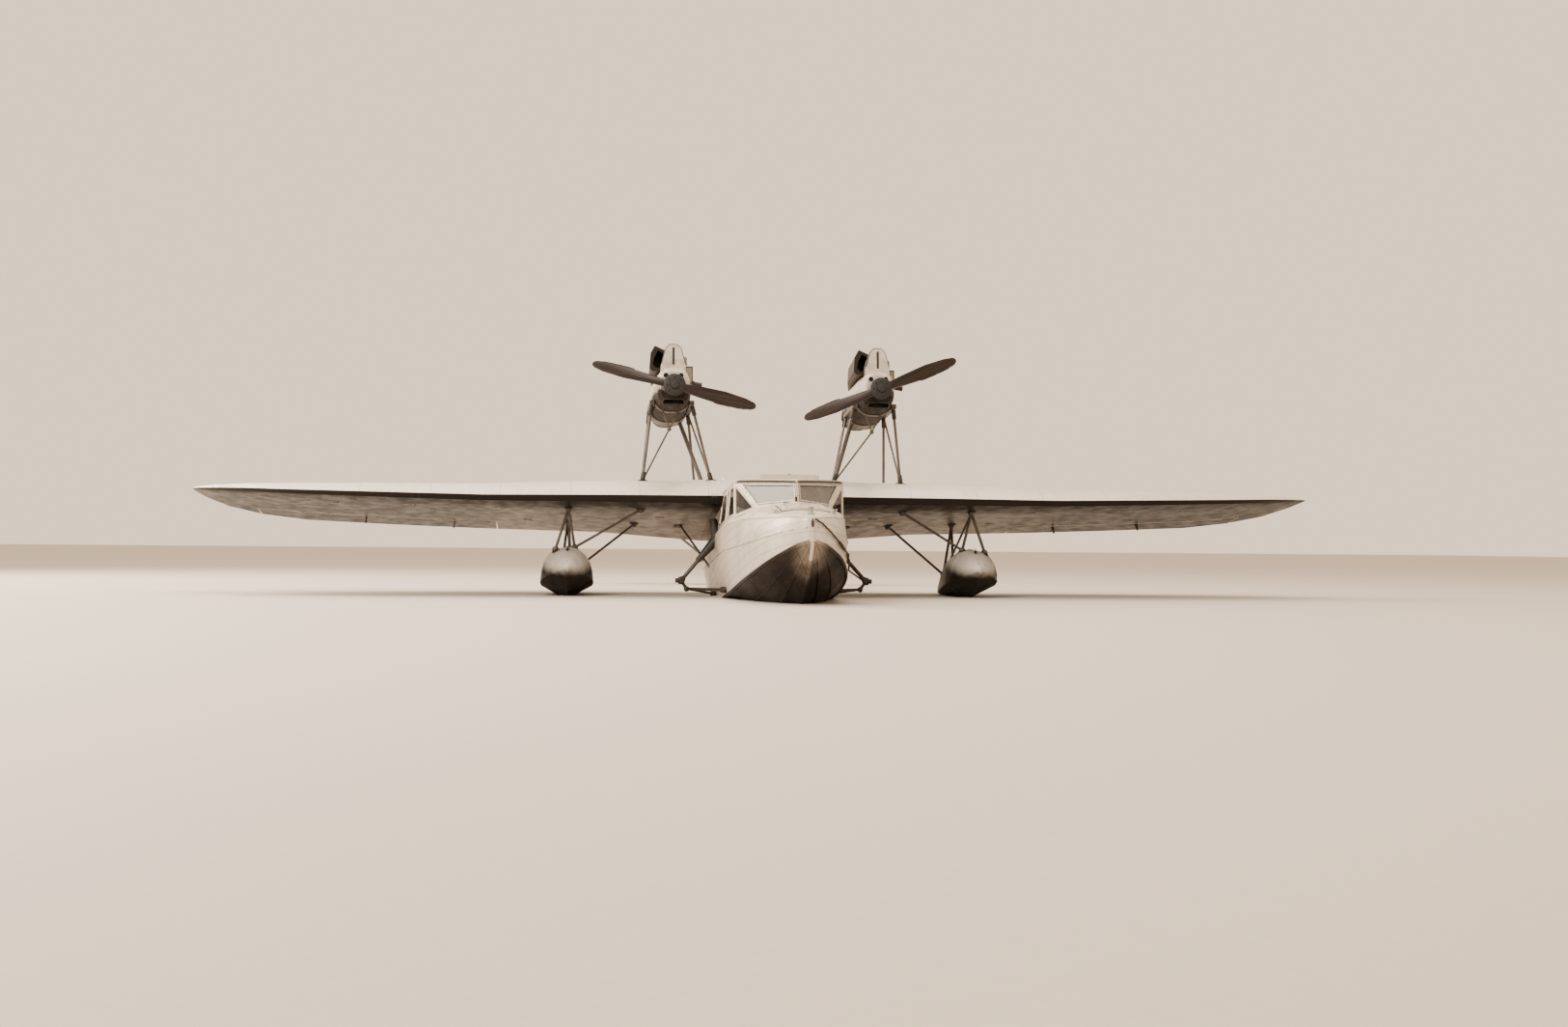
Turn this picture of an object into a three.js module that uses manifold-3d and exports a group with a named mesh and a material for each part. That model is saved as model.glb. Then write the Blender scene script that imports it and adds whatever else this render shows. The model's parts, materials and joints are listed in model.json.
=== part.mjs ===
// Twin-engined flying boat of about 1930: high cantilever wing, two in-line engines on
// strut trestles, outboard floats, landing gear legs without wheels.
// Millimetres. In the craft's own frame +X is to port, +Y is aft, +Z is up, with Y = 0 at the
// wing's leading edge and Z = 0 at the keel under the main step. The whole craft is then
// trimmed bow up and set down so that Z = 0 is the water it floats on.

import * as THREE from 'three';
import { mergeVertices } from 'three/addons/utils/BufferGeometryUtils.js';
import Module from 'manifold-3d';

const wasm = await Module();
wasm.setup();

// Driving dimensions
const TRIM = THREE.MathUtils.degToRad(6);
const WATER_AT_ORIGIN = 355;
const GAP = 0.3;
const SIDES = { starboard: -1, port: 1 };

const WALL = 45;
const GLASS = 6;
const PANEL_X = 720;
const BOW_END = -1420;
const STEP_Y = 1400;
const CABIN_END = STEP_Y;
const PILLAR_Y = -1056;
const STERN_Y = 6980;

const ENGINE_X = 1230;
const ENGINE_Z = 2840;
const PROP_Y = -160;
const PROP_RADIUS = 990;
const FLOAT_X = 2460;

// Finishes
const paint = (color, roughness, metalness) => ({ color, roughness, metalness });
const SILVER = paint(0xc9c7c0, 0.45, 0.35);
const BLACK = paint(0x2b2724, 0.55, 0.0);
const DARK_STEEL = paint(0x3a3a3c, 0.5, 0.4);
const WOOD = paint(0x4a3020, 0.4, 0.0);
const CLEAR = paint(0x9fb0b4, 0.08, 0.0);
const LEATHER = paint(0x4b3528, 0.7, 0.0);
const PLY = paint(0x7a5c3c, 0.7, 0.0);
const IRON = paint(0x5a5a58, 0.6, 0.7);

// Closed meshes and solids

const at = (x, y, z) => new THREE.Vector3(x, y, z);

function solidOf(geometry) {
  const plain = geometry.clone();
  plain.deleteAttribute('normal');
  plain.deleteAttribute('uv');
  const merged = mergeVertices(plain, 1e-3);
  const mesh = new wasm.Mesh({
    numProp: 3,
    vertProperties: new Float32Array(merged.attributes.position.array),
    triVerts: new Uint32Array(merged.index.array),
  });
  return new wasm.Manifold(mesh);
}

function geometryOf(solid) {
  const mesh = solid.getMesh();
  const geometry = new THREE.BufferGeometry();
  geometry.setAttribute('position', new THREE.BufferAttribute(mesh.vertProperties, 3));
  geometry.setIndex(new THREE.BufferAttribute(mesh.triVerts, 1));
  geometry.computeVertexNormals();
  return geometry;
}

function moved(solid, x, y, z) {
  return solidOf(geometryOf(solid).translate(x, y, z));
}

// The neighbour is pushed the gap towards the piece and then taken out of it
function cutBy(piece, neighbour, x, y, z) {
  return piece.subtract(moved(neighbour, x * GAP, y * GAP, z * GAP));
}

function ringNormal(ring) {
  const normal = at(0, 0, 0);
  ring.forEach((p, k) => {
    const q = ring[(k + 1) % ring.length];
    normal.x += (p.y - q.y) * (p.z + q.z);
    normal.y += (p.z - q.z) * (p.x + q.x);
    normal.z += (p.x - q.x) * (p.y + q.y);
  });
  return normal;
}

function capFaces(ring) {
  const n = ringNormal(ring);
  const size = [Math.abs(n.x), Math.abs(n.y), Math.abs(n.z)];
  const axis = size.indexOf(Math.max(...size));
  const flat = ring.map((p) => [
    new THREE.Vector2(p.y, p.z),
    new THREE.Vector2(p.x, p.z),
    new THREE.Vector2(p.x, p.y),
  ][axis]);
  const turn = Math.sign(THREE.ShapeUtils.area(flat));
  return THREE.ShapeUtils.triangulateShape(flat, []).map(([a, b, c]) => {
    const way = Math.sign(THREE.ShapeUtils.area([flat[a], flat[b], flat[c]]));
    return way === turn ? [a, b, c] : [a, c, b];
  });
}

// A solid through rings of equally many points, closed at both ends. Each four-sided bay is
// split along one diagonal, and the bays in crossed along the other.
function loft(rings, crossed = []) {
  const n = rings[0].length;
  const points = rings.flat();
  const faces = [];
  for (let r = 0; r + 1 < rings.length; r += 1) {
    for (let k = 0; k < n; k += 1) {
      const a = r * n + k;
      const b = r * n + ((k + 1) % n);
      if (crossed.includes(k)) faces.push([a, b, a + n], [b, b + n, a + n]);
      else faces.push([a, b, b + n], [a, b + n, a + n]);
    }
  }
  const last = (rings.length - 1) * n;
  capFaces(rings[0]).forEach(([a, b, c]) => faces.push([a, c, b]));
  capFaces(rings.at(-1)).forEach(([a, b, c]) => faces.push([last + a, last + b, last + c]));
  const volume = faces.reduce(
    (sum, [a, b, c]) => sum + points[a].dot(at(0, 0, 0).crossVectors(points[b], points[c])), 0);
  const geometry = new THREE.BufferGeometry();
  const xyz = points.flatMap((p) => [p.x, p.y, p.z]);
  geometry.setAttribute('position', new THREE.Float32BufferAttribute(xyz, 3));
  geometry.setIndex(faces.flatMap(([a, b, c]) => (volume > 0 ? [a, b, c] : [a, c, b])));
  return solidOf(geometry);
}

function block(x0, x1, y0, y1, z0, z1) {
  const geometry = new THREE.BoxGeometry(Math.abs(x1 - x0), y1 - y0, z1 - z0);
  return solidOf(geometry.translate((x0 + x1) / 2, (y0 + y1) / 2, (z0 + z1) / 2));
}

// A plan outline of [x, y] pairs standing between two heights
function planBlock(outline, z0, z1) {
  return loft([z0, z1].map((z) => outline.map(([x, y]) => at(x, y, z))));
}

// A side outline of [y, z] pairs between two stations across the craft
function sideBlock(outline, x0, x1) {
  return loft([x0, x1].map((x) => outline.map(([y, z]) => at(x, y, z))));
}

// A straight tube from a to b, its width across and its depth along the flow
function strut(a, b, width = 36, depth = 36, sides = 8) {
  const along = b.clone().sub(a).normalize();
  const flow = at(0, 1, 0).addScaledVector(along, -along.y);
  if (flow.length() < 0.2) flow.set(0, 0, 1).addScaledVector(along, -along.z);
  flow.normalize();
  const across = at(0, 0, 0).crossVectors(along, flow);
  const ring = (centre) => Array.from({ length: sides }, (_, k) => {
    const turn = ((k + 0.5) / sides) * 2 * Math.PI;
    return centre.clone()
      .addScaledVector(across, (width / 2) * Math.cos(turn))
      .addScaledVector(flow, (depth / 2) * Math.sin(turn));
  });
  return loft([ring(a), ring(b)]);
}

function ball(centre, radius) {
  const geometry = new THREE.SphereGeometry(radius, 8, 4);
  return solidOf(geometry.translate(centre.x, centre.y, centre.z));
}

function disc(x, y0, y1, z, radius, sides = 20) {
  const geometry = new THREE.CylinderGeometry(radius, radius, y1 - y0, sides);
  return solidOf(geometry.translate(x, (y0 + y1) / 2, z));
}

const together = (solids) => solids.reduce((sum, solid) => sum.add(solid));

// Hull lines: station, keel height, chine, widest side, deck edge and crown of the deck
const BOW_LINES = [
  // y, keelZ, chineX, chineZ, sideX, sideZ, edgeX, edgeZ, crownZ
  [-2935, 700, 30, 714, 34, 850, 28, 956, 968],
  [-2895, 650, 112, 694, 124, 846, 104, 972, 990],
  [-2770, 541, 232, 640, 252, 832, 220, 990, 1022],
  [-2585, 408, 332, 586, 352, 818, 308, 1004, 1066],
  [-2353, 277, 410, 540, 432, 808, 382, 1024, 1124],
  [-2050, 140, 485, 484, 502, 806, 466, 1054, 1200],
  [-1670, 45, 542, 443, 560, 812, 534, 1092, 1262],
  [BOW_END, 18, 567, 421, 590, 820, 574, 1113, 1288],
];
const AFT_LINES = [
  // y, keelZ, chineX, chineZ, sideX, sideZ, edgeX, edgeZ, crownZ
  [STEP_Y, 100, 638, 392, 712, 850, 672, 1250, 1715],
  [2400, 205, 600, 470, 680, 900, 622, 1275, 1672],
  [3400, 330, 500, 566, 572, 950, 505, 1290, 1634],
  [4400, 470, 375, 680, 442, 1010, 382, 1310, 1606],
  [5200, 600, 272, 800, 330, 1080, 282, 1335, 1594],
  [6400, 960, 140, 1060, 182, 1222, 152, 1415, 1592],
  [STERN_Y, 1180, 52, 1230, 74, 1340, 60, 1465, 1585],
];
// Cabin part of the hull: keel, chine, widest side, deck edge, window sill
const CABIN_LINES = [
  // y, keelZ, chineX, chineZ, sideX, sideZ, edgeX, edgeZ, sillX, sillZ
  [BOW_END, 18, 567, 421, 590, 820, 574, 1113, 403, 1237],
  [PILLAR_Y, 4, 594, 396, 644, 832, 638, 1130, 606, 1175],
  [-700, 0, 610, 374, 690, 845, 688, 1140, 652, 1180],
  [0, 0, 630, 360, 712, 850, 706, 1142, 672, 1182],
  [CABIN_END, 0, 640, 360, 712, 850, 706, 1142, 676, 1182],
];
// Upper cabin walls: station at sill and at roof, half-widths and roof edge height
const WALL_LINES = [
  // y, sillX, roofX
  [PILLAR_Y, 606, 604],
  [-700, 652, 618],
  [0, 672, 630],
  [CABIN_END, 676, 640],
];
const SILL_Z = 1165;
const WALL_TOP = 1640;
// The roof falls towards its pointed front, and its upper surface runs out on the wing
const ROOF_LINES = [
  // y, edgeX, edgeZ, crownZ
  [-1800, 614, 1494, 1506],
  [PILLAR_Y, 614, 1596, 1622],
  [-500, 630, 1606, 1690],
  [0, 642, 1616, 1752],
  [420, 652, 1626, 1826],
];
const ROOF_THICK = 26;
const ROOF_FRONT = { tip: -1766, corner: -1072, halfWidth: 626 };
const DECK_STEPS = [22.5, 45, 67.5];

// Points of the rounded deck from its edge over the crown to the other edge
function deckArc(y, edgeX, edgeZ, crownZ) {
  const half = DECK_STEPS.map((deg) => {
    const turn = THREE.MathUtils.degToRad(deg);
    return [edgeX * Math.cos(turn), edgeZ + (crownZ - edgeZ) * Math.sin(turn)];
  });
  const far = half.map(([x, z]) => at(-x, y, z)).reverse();
  const near = half.map(([x, z]) => at(x, y, z));
  return [at(edgeX, y, edgeZ), ...near, at(0, y, crownZ), ...far, at(-edgeX, y, edgeZ)];
}

function topsideRing([y, , chineX, chineZ, sideX, sideZ, edgeX, edgeZ, crownZ]) {
  return [
    at(chineX, y, chineZ),
    at(sideX, y, sideZ),
    ...deckArc(y, edgeX, edgeZ, crownZ),
    at(-sideX, y, sideZ),
    at(-chineX, y, chineZ),
  ];
}

// The planing bottom is slightly hollow between keel and chine
function bottomRing([y, keelZ, chineX, chineZ]) {
  const midX = chineX * 0.55;
  const midZ = keelZ + (chineZ - keelZ) * 0.46;
  return [
    at(0, y, keelZ),
    at(midX, y, midZ),
    at(chineX, y, chineZ - GAP),
    at(-chineX, y, chineZ - GAP),
    at(-midX, y, midZ),
  ];
}

function cabinRing([y, , chineX, chineZ, sideX, sideZ, edgeX, edgeZ, sillX, sillZ], inset) {
  const base = inset ? chineZ - 40 : chineZ;
  const top = inset ? sillZ + 40 : sillZ;
  const half = [
    [chineX - inset, base],
    [sideX - inset, sideZ],
    [edgeX - inset * 1.1, edgeZ - inset * 0.2],
    [sillX - inset * 0.9, top],
  ];
  const left = half.map(([x, z]) => at(x, y, z));
  const right = half.map(([x, z]) => at(-x, y, z)).reverse();
  return [...left, ...right];
}

// Wing sections
const WING_LINES = [
  // x, leadY, leadZ, trailY, trailZ, thickness ratio, camber ratio
  [PANEL_X, 0, 1560, 2320, 1275, 0.18, 0.07],
  [2050, 0, 1555, 2350, 1380, 0.155, 0.057],
  [3450, 10, 1545, 2330, 1410, 0.13, 0.049],
  [4600, 80, 1572, 2170, 1432, 0.125, 0.047],
  [5660, 200, 1605, 1930, 1453, 0.12, 0.045],
  [6200, 325, 1632, 1745, 1500, 0.11, 0.043],
  [6560, 480, 1653, 1470, 1560, 0.105, 0.04],
  [6780, 640, 1670, 1140, 1630, 0.1, 0.035],
  [6855, 740, 1680, 900, 1668, 0.1, 0.03],
];
const SECTION_POINTS = 9;
const CAMBER_AT = 0.4;

function halfThickness(u, ratio) {
  return 5 * ratio * (0.2969 * Math.sqrt(u) - 0.126 * u - 0.3516 * u ** 2
    + 0.2843 * u ** 3 - 0.1015 * u ** 4);
}

function camberHeight(u, ratio) {
  const p = CAMBER_AT;
  if (u < p) return (ratio / p ** 2) * (2 * p * u - u ** 2);
  return (ratio / (1 - p) ** 2) * (1 - 2 * p + 2 * p * u - u ** 2);
}

// Points of an aerofoil from the trailing edge over the top and back along the bottom
function aerofoil(thick, camber) {
  const stops = Array.from({ length: SECTION_POINTS + 1 }, (_, k) => (
    (1 - Math.cos((Math.PI * k) / SECTION_POINTS)) / 2));
  const top = stops.map((u) => [u, camberHeight(u, camber) + halfThickness(u, thick)]);
  const bottom = stops.map((u) => [u, camberHeight(u, camber) - halfThickness(u, thick)]);
  return [...top.reverse(), ...bottom.slice(1)];
}

function wingRing([x, leadY, leadZ, trailY, trailZ, thick, camber]) {
  const alongY = trailY - leadY;
  const alongZ = trailZ - leadZ;
  return aerofoil(thick, camber).map(([u, w]) => (
    at(x, leadY + u * alongY - w * alongZ, leadZ + u * alongZ + w * alongY)));
}

// Ailerons: the hinge line in plan, its height at both ends, and the radius of the nose
const AILERON = {
  in: at(3350, 1900, 1490),
  out: at(6200, 1400, 1568),
  noseIn: 54,
  noseOut: 34,
  endGap: 15,
  slot: 8,
};

function wingPanel(side) {
  const start = [[PANEL_X + GAP, ...WING_LINES[0].slice(1)], ...WING_LINES.slice(1)];
  return loft(start.map((line) => wingRing([side * line[0], ...line.slice(1)])));
}

function aileronZone(side, endGap, forwardIn, forwardOut) {
  const { in: inner, out: outer } = AILERON;
  return planBlock([
    [side * (inner.x - endGap), inner.y - forwardIn],
    [side * (outer.x + endGap), outer.y - forwardOut],
    [side * (outer.x + endGap), 3000],
    [side * (inner.x - endGap), 3000],
  ], 1200, 2000);
}

// A round bar whose radius changes evenly along it, its rings across X
function taperedBar(a, b, radiusA, radiusB, sides = 12) {
  const ring = (centre, radius) => Array.from({ length: sides }, (_, k) => {
    const turn = (k / sides) * 2 * Math.PI;
    return at(centre.x, centre.y + radius * Math.cos(turn), centre.z + radius * Math.sin(turn));
  });
  return loft([ring(a, radiusA), ring(b, radiusB)]);
}

// Hinge lugs fill the slot ahead of a surface's round nose at a few places along the hinge,
// and are bored to run on the nose
const LUG = { wide: 34, reach: 40, run: 0.5, sides: 24 };

function hingeLugs(shares, a, b, radiusA, radiusB, high) {
  const grow = 1 / Math.cos(Math.PI / LUG.sides);
  const bore = taperedBar(a, b, (radiusA + LUG.run) * grow, (radiusB + LUG.run) * grow, LUG.sides);
  const lugs = shares.map((share) => {
    const p = a.clone().lerp(b, share);
    const radius = radiusA + (radiusB - radiusA) * share;
    return block(p.x - LUG.wide / 2, p.x + LUG.wide / 2, p.y - radius - LUG.reach,
      p.y - radius * 0.6, p.z - high / 2, p.z + high / 2);
  });
  return together(lugs).subtract(bore);
}

const AILERON_LUGS = [0.06, 0.5, 0.94];

function aileronLugs(side) {
  const { in: inner, out: outer, noseIn, noseOut } = AILERON;
  return hingeLugs(AILERON_LUGS, at(side * inner.x, inner.y, inner.z),
    at(side * outer.x, outer.y, outer.z), noseIn, noseOut, 36);
}

function aileron(side, panel) {
  const { in: inner, out: outer } = AILERON;
  const a = at(side * inner.x, inner.y, inner.z);
  const b = at(side * outer.x, outer.y, outer.z);
  const blade = panel.intersect(aileronZone(side, 0, 0, 0));
  return blade.add(taperedBar(a, b, AILERON.noseIn, AILERON.noseOut));
}

// Engine housings: rings of a rounded box section along the engine's length
const NACELLE_LINES = [
  // y, halfWidth, bottomZ, topZ
  [-20, 150, 2668, 3040],
  [20, 196, 2634, 3084],
  [300, 224, 2606, 3112],
  [1200, 240, 2584, 3116],
  [1640, 182, 2640, 3040],
  [1920, 90, 2740, 2950],
  [1985, 36, 2800, 2890],
];
const NACELLE_SKIN = 14;
const NACELLE_POINTS = 20;
const MOUTH = { halfWidth: 118, low: 2652, high: 2694, rear: 90 };
const EYE = { off: 90, z: 2985, radius: 30 };

function roundedRing(x, y, halfWidth, bottomZ, topZ, points = NACELLE_POINTS, power = 2.7) {
  const middle = (bottomZ + topZ) / 2;
  const half = (topZ - bottomZ) / 2;
  const bend = (v) => Math.sign(v) * Math.abs(v) ** (2 / power);
  return Array.from({ length: points }, (_, k) => {
    const turn = ((k + 0.5) / points) * 2 * Math.PI;
    return at(x + halfWidth * bend(Math.cos(turn)), y, middle + half * bend(Math.sin(turn)));
  });
}

function nacelleForm(x, skin) {
  return loft(NACELLE_LINES.map(([y, halfWidth, bottomZ, topZ], k) => {
    const edge = k === 0 ? skin : 0;
    const tail = k === NACELLE_LINES.length - 1 ? skin * 2 : 0;
    return roundedRing(x, y + edge - tail, halfWidth - skin, bottomZ + skin, topZ - skin);
  }));
}

function nacelle(x) {
  const front = NACELLE_LINES[0][0] - 40;
  const mouth = block(x - MOUTH.halfWidth, x + MOUTH.halfWidth, front, MOUTH.rear, MOUTH.low, MOUTH.high);
  const eyes = [-EYE.off, EYE.off].map((off) => disc(x + off, front, MOUTH.rear, EYE.z, EYE.radius, 12));
  return together([nacelleForm(x, 0)]).subtract(nacelleForm(x, NACELLE_SKIN))
    .subtract(together([mouth, ...eyes]));
}

// Narrow cowl over the row of upright cylinders
const COWL_PROFILE = [
  // halfWidth, z
  [152, 3020],
  [150, 3110],
  [120, 3240],
  [96, 3330],
  [72, 3368],
  [40, 3380],
];
const COWL_LINES = [
  // y, width factor, height factor
  [22, 0.94, 0.96],
  [60, 1, 1],
  [760, 1, 0.98],
  [960, 0.72, 0.5],
];
const COWL_BASE_Z = 3020;

function cowlForm(x) {
  return loft(COWL_LINES.map(([y, wide, high]) => {
    const half = COWL_PROFILE.map(([w, z]) => [w * wide, COWL_BASE_Z + (z - COWL_BASE_Z) * high]);
    return [
      ...half.map(([w, z]) => at(x + w, y, z)),
      ...half.map(([w, z]) => at(x - w, y, z)).reverse(),
    ];
  }));
}

// Air scoop down the starboard side of each cowl, open at its front end
const SCOOP_LINES = [
  // y, innerX, outerX, bottomZ, topZ
  [100, -110, -280, 3060, 3366],
  [700, -120, -262, 3040, 3340],
  [1080, -120, -190, 2990, 3180],
];

// Corners of the scoop's section, outward from its inner or outer wall, and up or down from
// its bottom or top
const SCOOP_CORNERS = [
  ['inner', 40, 'bottom', 0],
  ['outer', 30, 'bottom', 0],
  ['outer', 0, 'bottom', 40],
  ['outer', 12, 'top', -90],
  ['outer', 62, 'top', 0],
  ['inner', 60, 'top', -75],
];
const SCOOP_SKIN = 16;
const THROAT_LINES = [
  [-50, -108, -262, 3085, 3336],
  [400, -108, -240, 3085, 3310],
];
const THROAT = { rear: 380, inner: -118 };

function scoopForm(x, lines, skin) {
  return loft(lines.map(([y, inner, outer, bottom, top]) => {
    const wall = { inner, outer: outer + skin, bottom: bottom + skin, top: top - skin };
    return SCOOP_CORNERS.map(([side, out, level, up]) => at(x + wall[side] + out, y, wall[level] + up));
  }));
}

function scoop(x) {
  const throat = scoopForm(x, THROAT_LINES, SCOOP_SKIN)
    .intersect(block(x - 400, x + THROAT.inner, -100, THROAT.rear, 2900, 3500));
  return scoopForm(x, SCOOP_LINES, 0).subtract(throat);
}

// Exhaust: a collector along the cowl, a box below it and a short stub pipe that droops
const EXHAUST = {
  // x0, x1, y0, y1, z0, z1 from the engine's centre line
  collector: [118, 164, 160, 800, 3150, 3250],
  box: [118, 250, 290, 470, 2950, 3160],
  stubIn: [200, 380, 2978],
  stubOut: [362, 380, 2952],
  stub: 50,
};

function exhaust(x) {
  const [collector, box] = [EXHAUST.collector, EXHAUST.box].map(([x0, x1, ...rest]) => (
    block(x + x0, x + x1, ...rest)));
  const [from, to] = [EXHAUST.stubIn, EXHAUST.stubOut].map(([off, y, z]) => at(x + off, y, z));
  return together([collector, box, strut(from, to, EXHAUST.stub, EXHAUST.stub, 12)]);
}

// The engine itself, one plain block that rests on the floor of its housing
const BLOCK = { halfWidth: 125, front: 110, rear: 1090, top: 2960 };

function engineBlock(x) {
  return block(x - BLOCK.halfWidth, x + BLOCK.halfWidth, BLOCK.front, BLOCK.rear, 2560, BLOCK.top)
    .intersect(moved(nacelleForm(x, NACELLE_SKIN), 0, 0, GAP));
}

// Propeller blade sections outward from the hub
const BLADE_LINES = [
  // radius, chord, thickness, pitch in degrees
  [90, 105, 84, 52],
  [300, 150, 52, 38],
  [600, 168, 32, 25],
  [850, 132, 20, 18],
  [960, 84, 13, 16],
  [PROP_RADIUS, 40, 8, 15],
];

function blade(x, turn) {
  const rings = BLADE_LINES.map(([radius, chord, thick, pitch]) => {
    const beta = THREE.MathUtils.degToRad(pitch);
    return Array.from({ length: 10 }, (_, k) => {
      const round = (k / 10) * 2 * Math.PI;
      const along = (chord / 2) * Math.cos(round);
      const over = (thick / 2) * Math.sin(round);
      const p = at(radius, along * Math.sin(beta) + over * Math.cos(beta),
        -along * Math.cos(beta) + over * Math.sin(beta));
      p.applyAxisAngle(at(0, 1, 0), turn);
      return p.add(at(x, PROP_Y, ENGINE_Z));
    });
  });
  return loft(rings);
}

const BLADE_TURN = { starboard: 14, port: -22 };
const HUB = [
  // from y, to y, radius, sides
  [PROP_Y - 50, PROP_Y + 50, 128, 24],
  [PROP_Y - 78, PROP_Y - 40, 52, 12],
  [PROP_Y + 40, NACELLE_LINES[0][0] - GAP, 58, 16],
];

function propeller(x, degrees) {
  const turn = THREE.MathUtils.degToRad(degrees);
  const discs = HUB.map(([from, to, radius, sides]) => disc(x, from, to, ENGINE_Z, radius, sides));
  return together([...discs, blade(x, turn), blade(x, turn + Math.PI)]);
}

// Trestle of tubes that carries one engine above the wing. Offsets are measured from the
// engine's centre line, outboard and inboard, because the trestle leans outboard.
const MOUNT = {
  frontFootY: 450,
  rearFootY: 1540,
  footZ: 1790,
  rearFootZ: 1620,
  frontTopY: 320,
  rearTopY: 970,
  topZ: 2712,
  frontOut: 340,
  frontIn: 485,
  rearOut: 327,
  rearIn: 391,
  topSpread: 238,
  tube: 33,
  thin: 23,
  deeper: 14,
  pad: [28, 60, 26],
  joint: 38,
  strap: 8,
  straps: [[285, 355], [935, 1200]],
  // The light brace from the starboard front foot, and the fork that it ends in
  apex: [-30, 320, 2400],
  apexBall: 28,
  fork: [[-120, 320, 2660], [110, 320, 2660]],
  forkTube: 20,
  // The pipe from the wing to the housing's belly
  pipeFoot: [438, 890, 1760],
  pipeTop: [146, 1160, 2640],
  pipe: 52,
};

function trestle(side, panel) {
  const x = side * ENGINE_X;
  const { frontFootY, rearFootY, footZ, rearFootZ, frontTopY, rearTopY, topZ, tube, thin, deeper,
    joint, forkTube } = MOUNT;
  const [padX, padY, padZ] = MOUNT.pad;
  const spot = ([off, y, z]) => at(x + off, y, z);
  const inboard = ([off, y, z]) => at(x - side * off, y, z);
  const legs = [];
  const pads = [];
  [[1, MOUNT.frontOut, MOUNT.rearOut], [-1, MOUNT.frontIn, MOUNT.rearIn]].forEach(
    ([way, front, rear]) => {
      const frontFoot = at(x + side * way * front, frontFootY, footZ);
      const rearFoot = at(x + side * way * rear, rearFootY, rearFootZ);
      const frontTop = at(x + side * way * MOUNT.topSpread, frontTopY, topZ);
      const rearTop = at(x + side * way * MOUNT.topSpread, rearTopY, topZ);
      legs.push(strut(frontFoot, frontTop, tube, tube + deeper));
      legs.push(strut(rearFoot, rearTop, tube, tube + deeper));
      legs.push(strut(frontFoot, rearTop, thin, thin + deeper));
      pads.push(block(frontTop.x - padX, frontTop.x + padX, frontTopY - padY, rearTopY + padY,
        topZ - padZ, topZ + padZ));
      pads.push(ball(frontTop, joint), ball(rearTop, joint));
    });
  const starFoot = spot([side < 0 ? -MOUNT.frontOut : -MOUNT.frontIn, frontFootY, footZ]);
  const apex = spot(MOUNT.apex);
  const brace = strut(starFoot, apex, thin, thin);
  const fork = MOUNT.fork.map((end) => strut(apex, spot(end), forkTube, forkTube));
  const pipe = strut(inboard(MOUNT.pipeFoot), inboard(MOUNT.pipeTop), MOUNT.pipe, MOUNT.pipe, 12);
  const straps = nacelleForm(x, -MOUNT.strap).intersect(together(MOUNT.straps.map(([from, to]) => (
    block(x - 300, x + 300, from, to, 2500, topZ)))));
  const all = together([...legs, ...pads, brace, ball(apex, MOUNT.apexBall), ...fork, pipe, straps]);
  return cutBy(all, panel, 0, 0, 1).subtract(nacelleForm(x, -GAP));
}

// Outboard floats: round-backed, fullest near the front, and low at both ends
const FLOAT_LINES = [
  // y, keelZ, halfWidth, chineZ, crownZ
  [80, 672, 14, 690, 712],
  [150, 600, 108, 664, 806],
  [270, 520, 212, 630, 914],
  [430, 455, 292, 598, 984],
  [650, 415, 318, 572, 1012],
  [950, 402, 304, 562, 992],
  [1300, 418, 246, 564, 930],
  [1700, 458, 172, 576, 852],
  [1950, 496, 126, 588, 796],
  [2200, 546, 78, 606, 734],
  [2370, 590, 40, 620, 676],
  [2430, 610, 16, 628, 646],
];
// Section above the chine, as shares of the half-width and of the height from chine to crown
const FLOAT_SECTION = [[1, 0], [0.955, 0.34], [0.86, 0.58], [0.69, 0.78], [0.44, 0.92]];

function floatHull(side) {
  const x = side * FLOAT_X;
  return loft(FLOAT_LINES.map(([y, keelZ, halfWidth, chineZ, crownZ]) => {
    const half = FLOAT_SECTION.map(([wide, high]) => [halfWidth * wide, chineZ + (crownZ - chineZ) * high]);
    return [
      at(x, y, keelZ),
      ...half.map(([w, z]) => at(x + w, y, z)),
      at(x, y, crownZ),
      ...half.map(([w, z]) => at(x - w, y, z)).reverse(),
    ];
  }));
}

const FLOAT_JOINTS = {
  frontTop: [2450, 450, 1436],
  rearTop: [2450, 1580, 1412],
  frontRoot: [1590, 450, 1436],
  rearRoot: [1620, 1600, 1396],
  frontOut: [2600, 430, 950],
  frontIn: [2370, 640, 1000],
  rearOut: [2525, 1860, 806],
  rearIn: [2393, 1860, 806],
};
const FLOAT_BARS = [
  // from, to, width, depth
  ['frontTop', 'frontOut', 34, 58],
  ['frontTop', 'frontIn', 34, 58],
  ['rearTop', 'rearOut', 34, 58],
  ['rearTop', 'rearIn', 34, 58],
  ['frontTop', 'rearIn', 26, 40],
  ['frontRoot', 'frontIn', 30, 50],
  ['rearRoot', 'rearIn', 30, 50],
];
const FLOAT_JOINT_BALL = 42;

function floatStruts(side, panel, body) {
  const joint = (name) => at(side * FLOAT_JOINTS[name][0], ...FLOAT_JOINTS[name].slice(1));
  const bars = FLOAT_BARS.map(([from, to, width, depth]) => strut(joint(from), joint(to), width, depth));
  const ends = Object.keys(FLOAT_JOINTS).map((name) => ball(joint(name), FLOAT_JOINT_BALL));
  return cutBy(cutBy(together([...bars, ...ends]), panel, 0, 0, -1), body, 0, 0, 1);
}

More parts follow.
